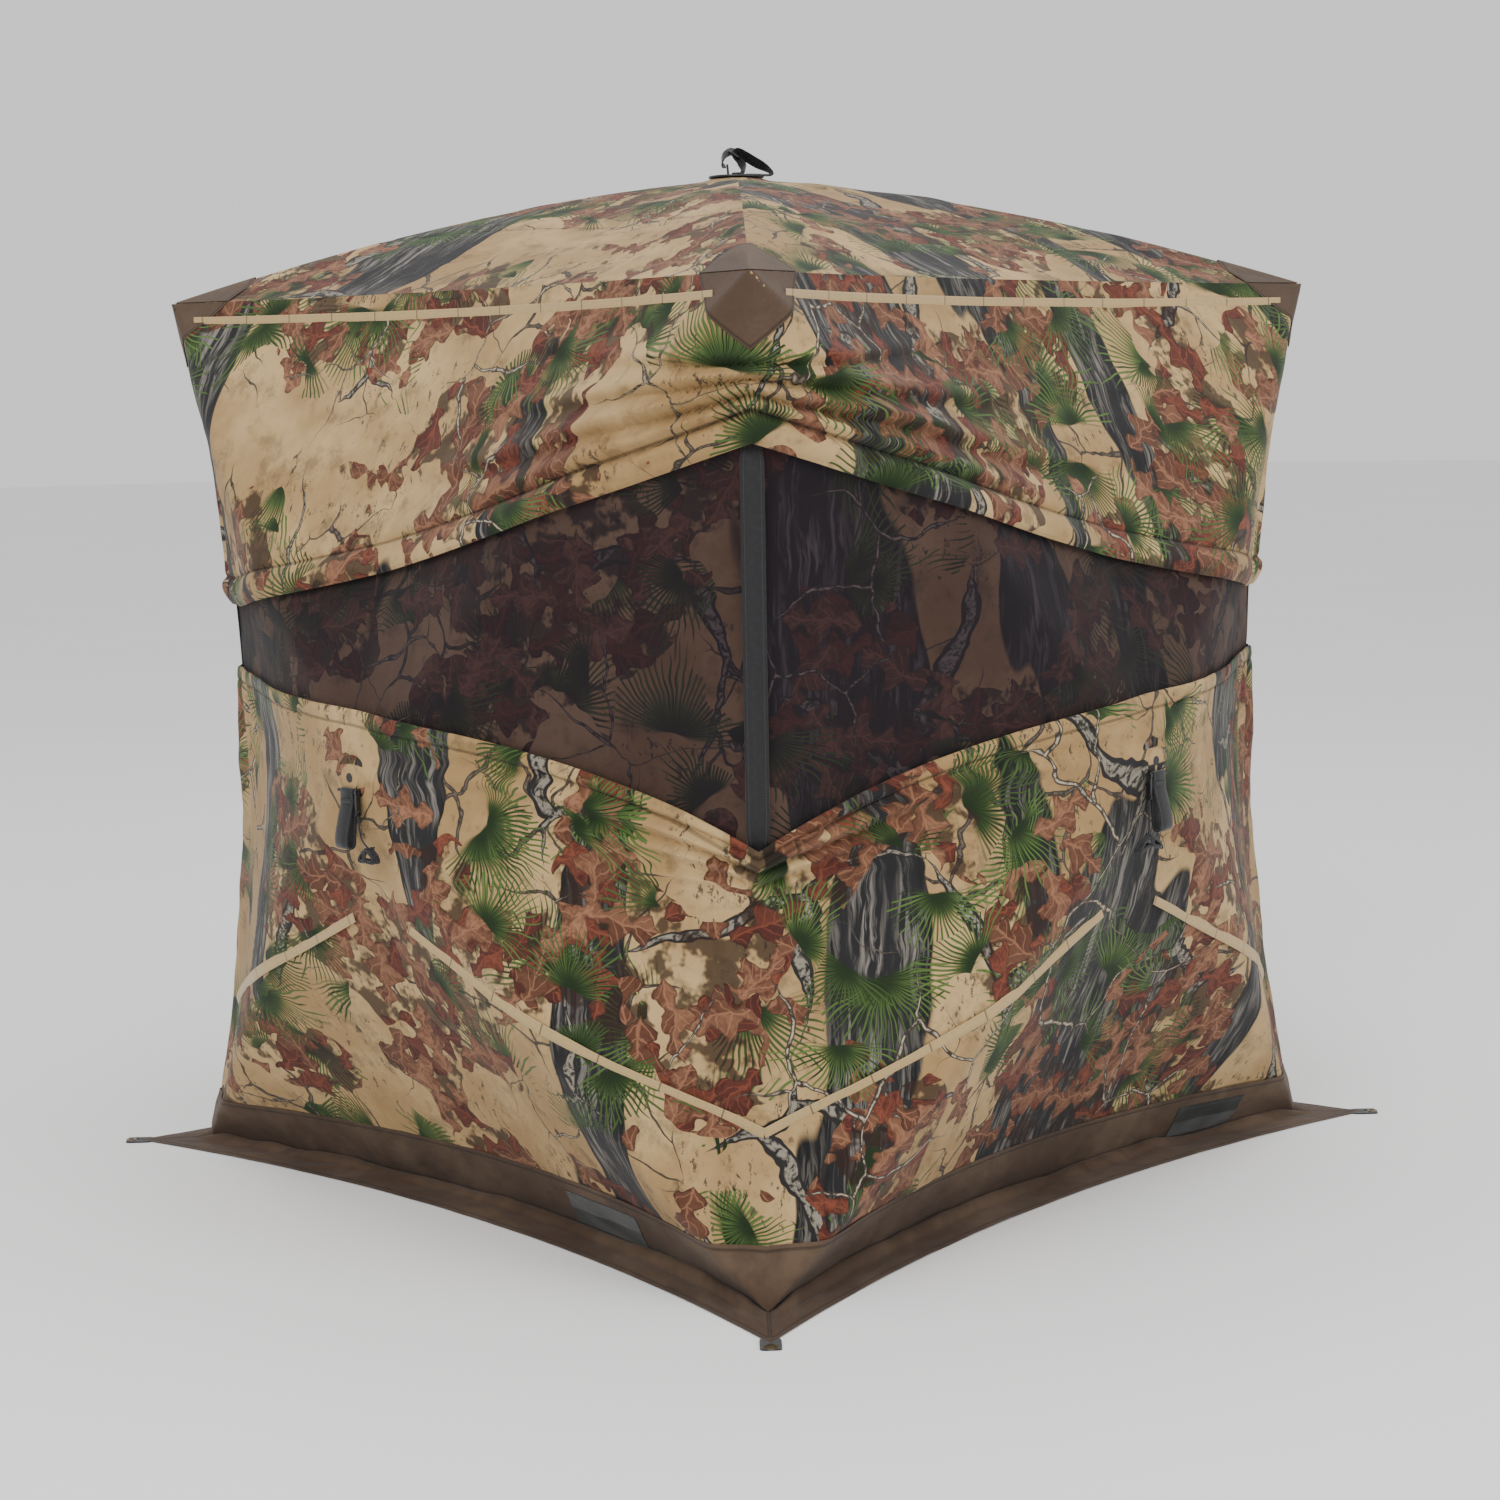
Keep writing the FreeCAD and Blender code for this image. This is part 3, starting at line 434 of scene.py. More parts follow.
def webbing_finish(colours, name="black_webbing", base=None, thread=(70, 70, 74), width=0.034, tick=0.0):
    """Webbing: slanted ribs with painted shade in their grooves, worn edges and two rows of stitches; tick spaces cross
    lines where loops are sewn down.
    """
    f = Finish(name, Roughness=0.66, Sheen_Weight=0.35, Sheen_Roughness=0.35, Specular_IOR_Level=0.3)
    at = f.cut()
    place = f.parts(at)
    across = f.math("ABSOLUTE", place[0])
    slant = f.math("SINE", f.math("MULTIPLY", f.math("ADD", place[1], f.math("MULTIPLY", across, 0.8)), 3000.0))
    base = tuple(base or colours.black)
    worn = f.step(f.noise(at, 120.0, 3.0, 0.6), 0.45, 0.75)
    colour = f.mix(f.math("MULTIPLY", worn, 0.18), base, paint(*thread))
    # painted shade: the grooves between the ribs are darkened
    colour = f.darker(f.step(slant, 0.3, -0.8), colour, 0.72)
    row = f.step(f.math("ABSOLUTE", f.math("SUBTRACT", across, width / 2 - 0.0035)), 0.0008, 0.0003)
    dash = f.step(f.math("SINE", f.math("MULTIPLY", place[1], 2 * math.pi / 0.0045)), -0.3, 0.1)
    sewn = f.math("MULTIPLY", row, dash)
    colour = f.mix(f.math("MULTIPLY", sewn, 0.6), colour, paint(*thread))
    height = f.math("ADD", f.math("MULTIPLY", slant, 0.4), sewn)
    if tick:
        line = f.math("ABSOLUTE", f.math("SUBTRACT", f.math("FRACT", f.math("DIVIDE", place[1], tick)), 0.5))
        bar = f.step(f.math("MULTIPLY", line, tick), 0.0018, 0.0009)
        colour = f.mix(f.math("MULTIPLY", bar, 0.8), colour, paint(92, 72, 50))
        height = f.math("SUBTRACT", height, bar)
    return f.done(colour, f.math("MULTIPLY_ADD", worn, 0.15, 0.58), f.bump(height, 0.0003))


def moulded_finish(name, shade, worn_shade, rough=0.42, coat=0.0):
    """Moulded nylon: a fine spark-eroded skin with dull rubbed places."""
    f = Finish(name, Specular_IOR_Level=0.45, Coat_Weight=coat)
    at = f.space()
    rubbed = f.step(f.solid_noise(at, 90.0, 4.0, 0.6), 0.52, 0.74)
    colour = f.mix(f.math("MULTIPLY", rubbed, 0.5), shade, worn_shade)
    grain = f.solid_noise(at, 1400.0, 2.0, 0.6)
    return f.done(colour, f.math("MULTIPLY_ADD", rubbed, 0.2, rough), f.bump(grain, 0.00010))


def metal_finish(name, shade, rough=0.32):
    """Plated metal: fine scratches and a little tarnish."""
    f = Finish(name, Metallic=1.0)
    at = f.space()
    tarnish = f.step(f.solid_noise(at, 160.0, 4.0, 0.65), 0.45, 0.75)
    colour = f.darker(tarnish, shade, 0.55)
    scratch = f.solid_noise(f.scaled(at, (900.0, 900.0, 60.0)), 1.0, 2.0)
    return f.done(colour, f.math("MULTIPLY_ADD", tarnish, 0.3, rough), f.bump(scratch, 0.00005))


def rod_finish():
    """Pultruded fibreglass: long fibres along the rod under a thin resin."""
    f = Finish("fibreglass", Specular_IOR_Level=0.5, Coat_Weight=0.25, Coat_Roughness=0.2)
    at = f.cut()
    fibre = f.noise(f.scaled(at, (1600.0, 9.0, 1.0)), 1.0, 3.0, 0.6)
    colour = f.mix(f.step(fibre, 0.35, 0.70), paint(30, 30, 32), paint(74, 72, 68))
    return f.done(colour, f.math("MULTIPLY_ADD", fibre, 0.25, 0.30), f.bump(fibre, 0.00008))


def zip_finish(colours):
    """Zip tape with a chain of teeth down its middle, painted shade in the gaps between the teeth, and a stitched row
    each side.
    """
    f = Finish("zip_tape", Roughness=0.6, Specular_IOR_Level=0.35)
    at = f.cut()
    place = f.parts(at)
    across = f.math("ABSOLUTE", place[0])
    chain = f.step(across, 0.0042, 0.0034)
    tooth = f.step(f.math("SINE", f.math("MULTIPLY", place[1], 2 * math.pi / 0.0040)), -0.35, 0.35)
    tape = f.mix(f.noise(at, 300.0, 2.0), tuple(colours.black), paint(46, 44, 44))
    sewn = f.step(f.math("ABSOLUTE", f.math("SUBTRACT", across, 0.0085)), 0.0008, 0.0003)
    tape = f.mix(f.math("MULTIPLY", sewn, 0.5), tape, paint(84, 82, 80))
    # painted shade: the near black between the teeth stands for shade between them
    colour = f.mix(chain, tape, f.mix(tooth, paint(14, 14, 15), paint(66, 62, 56)))
    height = f.math("MULTIPLY", chain, f.math("MULTIPLY_ADD", tooth, 0.7, 0.3))
    return f.done(colour, None, f.bump(height, 0.0009))


def line_finish():
    """Braided line: two sets of strands winding opposite ways round it, with painted shade in the grooves between the
    strands.
    """
    f = Finish("guy_cord", Roughness=0.62, Sheen_Weight=0.3, Sheen_Roughness=0.35, Specular_IOR_Level=0.3)
    at = f.parts(f.space())
    one = f.math("SINE", f.math("MULTIPLY", f.math("ADD", f.math("ADD", at[0], at[1]), at[2]), 3300.0))
    two = f.math("SINE", f.math("MULTIPLY", f.math("SUBTRACT", f.math("ADD", at[0], at[1]), at[2]), 3300.0))
    braid = f.math("MAXIMUM", one, two)
    # painted shade: the braid's grooves are darkened, the strands' crests keep the line's grey
    colour = f.mix(f.step(braid, 0.2, 1.0), paint(12, 12, 13), paint(44, 44, 46))
    return f.done(colour, None, f.bump(braid, 0.00025))


FINISHES = {}


def make_finishes(colours):
    FINISHES.update(
        camo=camouflage_finish(colours),
        mesh=mesh_finish(colours),
        brown=brown_finish(colours),
        lining=lining_finish(colours),
        webbing=webbing_finish(colours),
        strip=webbing_finish(colours, "loop_tape", tuple(colours.strip), (150, 126, 92), 0.020, 0.110),
        patch=webbing_finish(colours, "woven_patch", paint(34, 36, 34), (58, 62, 58), 0.060),
        cover=cover_finish(colours),
        cap=moulded_finish("cap_nylon", paint(24, 24, 26), paint(58, 56, 54)),
        hub=moulded_finish("hub_nylon", paint(30, 30, 32), paint(66, 64, 62), 0.5),
        clip=moulded_finish("clip_nylon", paint(18, 18, 20), paint(50, 50, 52), 0.3, 0.2),
        rubber=moulded_finish("rod_tip", paint(16, 16, 17), paint(40, 38, 36), 0.7),
        metal=metal_finish("ferrule_metal", paint(168, 168, 172)),
        brass=metal_finish("grommet_metal", paint(150, 134, 104), 0.36),
        zipper=zip_finish(colours),
        slider=metal_finish("zip_metal", paint(72, 72, 76), 0.4),
        rod=rod_finish(),
        line=line_finish(),
    )


# Meshes


def faces_of(rows, columns, start):
    """The four-sided faces of a grid of points: rows run along the first parameter and columns along the second."""
    at = np.arange(rows * columns).reshape(rows, columns) + start
    return np.stack([at[:-1, :-1], at[1:, :-1], at[1:, 1:], at[:-1, 1:]], -1).reshape(-1, 4)


def make_piece(name, patches, finishes, thickness=0.0, closed=False, sharp=45.0):
    """A mesh from patches, each (points, cut, finish number, distance to a seam), welded where they meet.
    A closed piece gets its faces turned outwards; a thickness is added inwards, lined with the second finish."""
    points, cuts, seams, faces, slots = [], [], [], [], []
    count = 0
    for grid, cut, slot, *seam in patches:
        rows, columns = grid.shape[:2]
        points.append(grid.reshape(-1, 3))
        cuts.append(np.broadcast_to(cut, (rows, columns, 2)).reshape(-1, 2))
        seams.append((seam[0] if seam else np.ones((rows, columns))).ravel())
        new = faces_of(rows, columns, count)
        faces.append(new)
        slots.append(np.full(len(new), slot))
        count += rows * columns
    points, faces = np.concatenate(points), np.concatenate(faces)
    mesh = bpy.data.meshes.new(name)
    mesh.from_pydata(points.tolist(), [], faces.tolist())
    mesh.polygons.foreach_set("material_index", np.concatenate(slots).astype(np.int32))
    layer = mesh.uv_layers.new(name="cut")
    corner = np.zeros(len(mesh.loops), np.int32)
    mesh.loops.foreach_get("vertex_index", corner)
    layer.data.foreach_set("uv", np.concatenate(cuts)[corner].astype(np.float32).ravel())
    seam = mesh.attributes.new("seam", "FLOAT", "POINT")
    seam.data.foreach_set("value", np.concatenate(seams).astype(np.float32))
    work = bmesh.new()
    work.from_mesh(mesh)
    bmesh.ops.remove_doubles(work, verts=work.verts, dist=2e-5)
    bmesh.ops.dissolve_degenerate(work, edges=work.edges, dist=1e-6)
    if closed:
        bmesh.ops.recalc_face_normals(work, faces=work.faces)
    work.to_mesh(mesh)
    work.free()
    for finish in finishes:
        mesh.materials.append(FINISHES[finish])
    obj = bpy.data.objects.new(name, mesh)
    bpy.context.scene.collection.objects.link(obj)
    if thickness:
        solid = obj.modifiers.new("thickness", "SOLIDIFY")
        solid.thickness, solid.offset = thickness, -1.0
        solid.material_offset = len(finishes) - 1
        solid.material_offset_rim = 0
        settle(obj)
    obj.data.shade_smooth()
    obj.data.set_sharp_from_angle(angle=math.radians(sharp))
    return obj


def settle(obj):
    """Keeps what the object's modifiers make as its own mesh."""
    seen = obj.evaluated_get(bpy.context.evaluated_depsgraph_get())
    made = bpy.data.meshes.new_from_object(seen)
    old, obj.data = obj.data, made
    obj.modifiers.clear()
    bpy.data.meshes.remove(old)
    made.name = obj.name


def declare_cloth(obj):
    """Reads the areas of a piece's faces; nothing is done with them."""
    faces = np.zeros(len(obj.data.polygons), np.float32)
    obj.data.polygons.foreach_get("area", faces)


def carried(path, across, profile, scale=None, closed=False, cut_scale=None):
    """A profile carried along a path: each point is the path's, plus the profile's first number along `across` and its
    second along the normal, which is square to the path and to `across`. An open sweep's ends close to a point."""
    path = np.asarray(path, float)
    if closed:
        ahead = np.roll(path, -1, 0) - np.roll(path, 1, 0)
    else:
        ahead = np.gradient(path, axis=0)
    ahead /= np.linalg.norm(ahead, axis=1, keepdims=True)
    across = np.broadcast_to(np.asarray(across, float), path.shape)
    across = across - (across * ahead).sum(1, keepdims=True) * ahead
    across = across / np.linalg.norm(across, axis=1, keepdims=True)
    normal = np.cross(ahead, across)
    scale = np.ones(len(path)) if scale is None else np.asarray(scale, float)
    ring = np.concatenate([profile, profile[:1]])
    along = np.concatenate([[0.0], np.cumsum(np.linalg.norm(np.diff(path, axis=0), axis=1))])
    if closed:
        along = np.append(along, along[-1] + np.linalg.norm(path[0] - path[-1]))
        path, across, normal, scale = (np.concatenate([a, a[:1]]) for a in (path, across, normal, scale))
    grid = path[:, None] + scale[:, None, None] * (
        across[:, None] * ring[None, :, :1] + normal[:, None] * ring[None, :, 1:])
    if not closed:
        grid = np.concatenate([np.broadcast_to(path[:1, None], (1, len(ring), 3)), grid,
                               np.broadcast_to(path[-1:, None], (1, len(ring), 3))])
        along = np.concatenate([along[:1], along, along[-1:]])
    cut = np.stack([np.broadcast_to(ring[:, 0], grid.shape[:2]), np.broadcast_to(along[:, None], grid.shape[:2])], -1)
    return grid, cut


def webbing_profile(width, thick):
    """A flat strap's section with its edges rounded."""
    half, edge = width / 2, thick / 2
    turn = np.linspace(-math.pi / 2, math.pi / 2, 5)
    right = np.stack([half - edge + edge * np.cos(turn), edge * np.sin(turn)], -1)
    return np.concatenate([right, -right])


def round_profile(radius, count=12):
    turn = np.linspace(0, 2 * math.pi, count, endpoint=False)
    return radius * np.stack([np.cos(turn), np.sin(turn)], -1)


def squared_ring(count, wide, tall, a, b):
    """A rectangle with rounded corners: wide sign(cos t) |cos t|^a across it and tall sign(sin t) |sin t|^b up it."""
    turn = np.linspace(0, 2 * math.pi, count, endpoint=False)
    c, s = np.cos(turn), np.sin(turn)
    return wide * np.sign(c) * np.abs(c) ** a, tall * np.sign(s) * np.abs(s) ** b


def curve_through(points, count, closed=False):
    """A smooth line through the points: the Catmull-Rom blend of each four neighbours."""
    points = np.asarray(points, float)
    last = len(points) if closed else len(points) - 1
    s = np.linspace(0, last, count, endpoint=not closed)
    n = np.minimum(s.astype(int), last - 1)
    t = (s - n)[:, None]
    if closed:
        a, b, c, d = (points[(n + i) % len(points)] for i in (-1, 0, 1, 2))
    else:
        ends = np.concatenate([[2 * points[0] - points[1]], points, [2 * points[-1] - points[-2]]])
        a, b, c, d = (ends[n + i] for i in range(4))
    return 0.5 * (2 * b + (c - a) * t + (2 * a - 5 * b + 4 * c - d) * t ** 2 + (3 * b - a - 3 * c + d) * t ** 3)


# The shell's surfaces


def smooth(x):
    """0 to 1 with level ends: 3x^2 - 2x^3, held outside that range."""
    x = np.clip(x, 0.0, 1.0)
    return x * x * (3 - 2 * x)


def drawn_in(a, b):
    """The share of an edge's inward curve that a point takes, from the edge that a points at."""
    a, b = np.abs(a), np.abs(b)
    return np.where(b < 1, smooth((a - b) / np.maximum(1 - b, 1e-6)) * (1 - b * b), 0.0)


def edge_share(p, q, ridge):
    """The greater of |p| and |q|, rounded where they are equal so that a rod's ridge is round: plus h^2 k / 4."""
    p, q = np.abs(p), np.abs(q)
    top = np.maximum(p, q)
    width = ridge * np.clip((1 - top) / 0.15, 0.02, 1.0)
    near = np.maximum(width - np.abs(p - q), 0) / width
    return top + near * near * width / 4


def lift(t, rise, bow):
    """How far a panel stands out at t, from 0 at its edge to 1 at its hub: rise t + 4 bow t (1 - t)."""
    return rise * t + 4 * bow * t * (1 - t)


def facing(k, x, y, z):
    """Places of the front wall carried round to wall k: a quarter turn about the middle for each wall."""
    c, s = ((1, 0), (0, 1), (-1, 0), (0, -1))[k]
    return np.stack([c * x - s * y, s * x + c * y, z], -1)


def wall_ways(k):
    """Unit vectors along wall k and out of it."""
    return facing(k, np.array([1.0, 0.0]), np.array([0.0, -1.0]), np.zeros(2))


def wall_surface(sizes, k, p, q, out=0.0, slip=0.0):
    """Wall k at p along it and q up it, both -1 to 1: a shallow pyramid with bowed rods and drawn-in edges.
    out stands it off along the wall's outward way, which turns to the diagonal at a corner, and slip draws it back
    from the corner along the wall."""
    p, q = np.broadcast_arrays(np.asarray(p, float), np.asarray(q, float))
    t = 1 - edge_share(p, q, sizes.ridge)
    side, level = drawn_in(p, q), drawn_in(q, p)
    pull = np.where(q > 0, sizes.eave_pull, sizes.hem_pull)
    rise = lift(t, HUB_OUT, sizes.rod_bow)
    from_hub = np.hypot(p * HALF, q * MID)
    rise = rise + (HUB_OUT - 0.0006 - rise) * smooth((0.050 - from_hub) / 0.020)
    x = p * HALF - np.sign(p) * (sizes.side_pull * side + slip)
    y = -(HALF + rise - sizes.side_pull * side - pull * level)
    turn = np.sign(p) * np.abs(p) ** 8
    size = np.hypot(turn, 1)
    return facing(k, x + out * turn / size, y - out / size, MID * (1 + q))


def roof_surface(sizes, k, s, r, out=0.0):
    """The roof's part over wall k: s runs along the eave and r from 1 at the eave to 0 at the peak."""
    s, r = np.broadcast_arrays(np.asarray(s, float), np.asarray(r, float))
    a, b = s * r, -r
    t = 1 - edge_share(a, b, sizes.ridge)
    rise = lift(t, APEX - EAVE, sizes.rod_bow)
    from_hub = np.hypot(a, b) * HALF
    rise = rise + (APEX - EAVE - 0.0006 - rise) * smooth((0.062 - from_hub) / 0.020)
    x = a * HALF
    y = b * HALF + sizes.eave_pull * drawn_in(b, a)
    return facing(k, x, y, EAVE + rise + out)


def ripples(u, v, seed, longest, shortest, count, around=8 * HALF):
    """A sum of sines of u and v with random ways and lengths, each a whole number of waves round the shell."""
    pick = np.random.default_rng(seed)
    total = np.zeros(np.broadcast(u, v).shape)
    for _ in range(count):
        length = math.exp(pick.uniform(math.log(shortest), math.log(longest)))
        way = pick.uniform(0, math.pi)
        waves = round(around / length * math.cos(way))
        total += math.sqrt(length / longest) * np.sin(
            2 * math.pi * (waves * u / around + v / length * math.sin(way)) + pick.uniform(0, 2 * math.pi))
    return total / math.sqrt(count)


def tall_corner_gap(k, p):
    """Metres along the wall from the corner where the window is tallest; the walls away from it count as far."""
    return {0: (1 - p) * HALF, 1: (1 + p) * HALF}.get(k, np.full(np.shape(p), 3.0))


def far_corner_gap(k, p):
    """Metres along the wall from the nearest of its slack corners."""
    return {0: (1 + p) * HALF, 1: (1 - p) * HALF}.get(k, (1 - np.abs(p)) * HALF)


def window_share(k, p):
    """0 at the window's tall corner to 1 at the far ones and past."""
    return {0: (1 - p) / 2, 1: (1 + p) / 2}.get(k, np.ones(np.shape(p)))


def head(k, p):
    """The window's upper edge as q: level at the far corners, rising as the share still to go to the power 1.7."""
    return 0.305 + 0.380 * (1 - window_share(k, p)) ** 1.7


def sill(k, p):
    """The window's lower edge as q: level at the far corners, falling as the share still to go to the power 4."""
    return 0.150 - 0.263 * (1 - window_share(k, p)) ** 4


def gathered(away, off, ways):
    """Folds that leave the tall corner side by side and fan out: ridges of e^-(d/w)^2 with a tight valley under each.
    ways holds, for each, where it starts, its slope, height, width and reach."""
    total = np.zeros(np.broadcast(away, off).shape)
    for start, slope, height, width, reach in ways:
        wide = width * (1 + 2.6 * away)
        d = (off - start - slope * away - 0.012 * away * np.sin(9 * away + 70 * start)) / wide
        fade = np.exp(-(away / reach) ** 2)
        total += height * fade * (np.exp(-d ** 2) - 0.45 * np.exp(-((d + 1.5) / 0.55) ** 2))
    return total


UPPER_FOLDS = [(0.060, 0.02, 0.018, 0.0078, 0.70), (0.082, 0.12, 0.021, 0.0080, 0.80),
               (0.104, 0.24, 0.017, 0.0078, 0.66), (0.126, 0.38, 0.011, 0.0074, 0.52)]
LOWER_FOLDS = [(0.022, 0.10, 0.017, 0.0072, 0.75), (0.042, 0.20, 0.014, 0.0068, 0.46),
               (0.062, 0.34, 0.009, 0.0064, 0.34)]


def creases(sizes, k, p, q):
    """The small relief of stretched cloth: long soft ripples and short ones, gone at the eave, foot and hub."""
    u, v = 2 * HALF * (k + (p + 1) / 2), MID * (1 + q)
    soft = 0.0032 * ripples(u, v, sizes.seed, 0.60, 0.18, 14)
    fine = 0.0008 * ripples(u, v, sizes.seed + 1, 0.12, 0.045, 26)
    calm = smooth((1 - np.abs(q)) / 0.10) * smooth((np.hypot(p * HALF, q * MID) - 0.05) / 0.12)
    return (soft + fine) * calm


def corner_cover(p):
    """The cloth lies over the corner webbing: a low rounded rise along the corner."""
    return 0.0045 * np.exp(-(((1 - np.abs(p)) * HALF) / 0.030) ** 2)


def hanging_waves(k, p, off, height, deep):
    """Upright waves by the slack corners: sin(2 pi f / 66 mm + bend) where f is the distance from the corner, gone
    20 cm from the corner, at the window's edge and past deep."""
    f = far_corner_gap(k, p)
    bend = 2.2 * np.sin(11 * off + 0.6)
    fade = np.exp(-(f / 0.20) ** 2) * smooth(off / 0.04) * np.exp(-(off / deep) ** 2)
    return height * np.sin(2 * math.pi * f / 0.066 + bend) * fade


def upper_relief(sizes, k, p, q):
    """How far the upper wall stands off: its free foot, the gathered folds with a broad swag over them, the slack
    waves and the creases."""
    off = (q - head(k, p)) * MID
    calm = smooth((1 - q) * MID / 0.12)
    stand = sizes.stand * np.exp(-np.maximum(off, 0) / 0.16)
    away = tall_corner_gap(k, p)
    swag = 0.010 * np.exp(-((off - 0.10 - 0.20 * away) / 0.07) ** 2) * np.exp(-((away - 0.45) / 0.35) ** 2)
    folds = gathered(away, off, UPPER_FOLDS) + swag
    return corner_cover(p) + calm * (stand + folds + hanging_waves(k, p, off, 0.0075, 0.30)) + creases(sizes, k, p, q)


def lower_relief(sizes, k, p, q):
    """How far the lower wall stands off: its free top edge, the folds of the V, the slack waves and the creases."""
    off = (sill(k, p) - q) * MID
    calm = smooth((1 + q) * MID / 0.20)
    stand = 0.75 * sizes.stand * np.exp(-np.maximum(off, 0) / 0.10)
    folds = gathered(tall_corner_gap(k, p), off, LOWER_FOLDS)
    return corner_cover(p) + calm * (stand + folds + hanging_waves(k, p, off, 0.006, 0.26)) + creases(sizes, k, p, q)


def band_relief(sizes, k, p, z):
    """How far the foot band stands off: over the corner webbing, puffed by 4 mm sin(pi z / its height), with
    wrinkles that die out at the foot and at the band's top."""
    u = 2 * HALF * (k + (p + 1) / 2)
    wrinkle = 0.0022 * ripples(u, 2.5 * z, sizes.seed + 5, 0.30, 0.07, 18) * smooth(z / 0.02)
    puff = 0.004 * np.sin(math.pi * np.clip(z / BAND_TOP, 0, 1))
    return corner_cover(p) + wrinkle * smooth((BAND_TOP + 0.004 - z) / 0.03) + puff


def slack(k, p, q):
    """At a slack corner the cloth beside the window draws back from the webbing."""
    z = MID * (1 + q)
    near = np.exp(-(far_corner_gap(k, p) / 0.06) ** 2)
    return 0.017 * near * smooth((z - 0.80) / 0.12) * smooth((1.36 - z) / 0.16)


def sector(side, low, high, cell, dense=None):
    """One of the four parts that a wall's rods divide it into, between two level curves: columns of fixed p that run
    from the higher of the two lower bounds to the lower of the two upper ones. Gives p and q as grids. Rows are closer
    together by the free edge, the low or the high one."""
    s = np.linspace(-1, 1, int(2 * HALF / cell))
    columns = 0.6 * s + 0.4 * np.sin(math.pi / 2 * s)
    fine = np.linspace(-1, 1, 4001)
    corners = [0.0]
    for curve in (low, high):
        for slope in (1, -1):
            gap = curve(fine) - slope * np.abs(fine)
            at = np.flatnonzero(gap[:-1] * gap[1:] < 0)
            corners += list(fine[at] - gap[at] * (fine[at + 1] - fine[at]) / (gap[at + 1] - gap[at]))
    p = np.unique(np.concatenate([columns, corners]))
    if side in ("right", "left"):
        p = p[p >= 0] if side == "right" else p[p <= 0]
        bottom, top = np.maximum(low(p), -np.abs(p)), np.minimum(high(p), np.abs(p))
    elif side == "bottom":
        bottom, top = np.maximum(low(p), -1.0), np.minimum(high(p), -np.abs(p))
    else:
        bottom, top = np.maximum(low(p), np.abs(p)), np.minimum(high(p), 1.0)
    keep = top - bottom > -1e-4
    p, bottom, top = p[keep], bottom[keep], np.maximum(top, bottom)[keep]
    if len(p) < 2 or (top - bottom).max() < 0.004:
        return None
    rows = np.linspace(0, 1, max(3, int((top - bottom).max() * MID / cell) + 2))
    rows = {"low": rows ** 1.45, "high": 1 - (1 - rows) ** 1.45}.get(dense, rows)
    return np.repeat(p[:, None], len(rows), 1), bottom[:, None] + (top - bottom)[:, None] * rows


def bend_with_hub(obj):
    """Bakes the piece's placing into its mesh; the piece is not made to follow its wall's hub."""
    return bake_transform(obj)


def cut_place(k, p, q, shift=(0.0, 0.0)):
    """Where a point of wall k lies on the cloth before it was sewn, in metres."""
    return np.stack([2 * HALF * (k + (p + 1) / 2) + shift[0], MID * (1 + q) + shift[1]], -1)


def without_hole(points, k, radius=0.022):
    """Draws what lies inside the hub's hole out to its rim."""
    centre = facing(k, np.array(0.0), np.array(-(HALF + HUB_OUT)), np.array(MID))
    along = wall_ways(k)[0]
    x, z = (points - centre) @ along, points[..., 2] - MID
    away = np.hypot(x, z)
    push = np.maximum(radius - away, 0) / np.maximum(away, 1e-4)
    push = np.where(away < 1e-4, 0, push)
    return points + push[..., None] * (x[..., None] * along + z[..., None] * np.array([0, 0, 1.0]))


# Operators


class StageOperator(bpy.types.Operator):
    """Makes the camera, the pale floor and the soft lights"""

    bl_idname = "blind.stage"
    bl_label = "Stage"

    def execute(self, context):
        yaw, pitch, roll = 0.0167, 0.137, 0.0188
        ahead = np.array([math.cos(pitch) * math.sin(yaw), math.cos(pitch) * math.cos(yaw), -math.sin(pitch)])
        right = np.array([math.cos(yaw), -math.sin(yaw), 0.0])
        up = np.cross(right, ahead)
        level = math.cos(roll) * right - math.sin(roll) * up
        upright = math.sin(roll) * right + math.cos(roll) * up
        corner_on = Matrix.Rotation(math.pi / 4, 3, "Z")
        axes = [corner_on @ Vector(v) for v in (level, upright, -ahead)]
        data = bpy.data.cameras.new("camera")
        data.lens, data.sensor_width = 63.9, 36.0
        camera = bpy.data.objects.new("camera", data)
        turn = Matrix(axes).transposed().to_4x4()
        camera.matrix_world = Matrix.Translation((3.5485, -3.6609, 1.4511)) @ turn
        context.scene.collection.objects.link(camera)
        context.scene.camera = camera
        reach = np.linspace(0, 1, 24) ** 2 * 40
        turn = np.linspace(0, 2 * math.pi, 65)
        floor = np.stack([reach[:, None] * np.cos(turn), reach[:, None] * np.sin(turn),
                          np.full((24, 65), -0.0005)], -1)
        f = Finish("pale_floor", Roughness=0.9, Specular_IOR_Level=0.1)
        tone = f.solid_noise(f.space(), 0.8, 2.0)
        FINISHES["floor"] = f.done(f.mix(tone, (0.88, 0.88, 0.88), (0.92, 0.92, 0.92)))
        make_piece("floor", [(floor, floor[..., :2], 0)], ["floor"])
        world = bpy.data.worlds.new("studio")
        context.scene.world = world
        world.use_nodes = True
        world.node_tree.nodes["Background"].inputs[0].default_value = (1.0, 1.0, 1.0, 1.0)
        world.node_tree.nodes["Background"].inputs[1].default_value = 0.95
        lights = (("key", (3.2, -6.0, 5.5), 4.0, 320.0), ("fill", (7.0, 1.5, 4.0), 5.0, 160.0),
                  ("top", (0.0, 0.0, 7.0), 5.0, 130.0))
        for name, place, size, power in lights:
            light = bpy.data.lights.new(name, "AREA")
            light.size, light.energy = size, power
            lamp = bpy.data.objects.new(name, light)
            aim = (Vector((0, 0, 0.9)) - Vector(place)).to_track_quat("-Z", "Y").to_matrix().to_4x4()
            lamp.matrix_world = Matrix.Translation(place) @ aim
            context.scene.collection.objects.link(lamp)
        return {"FINISHED"}


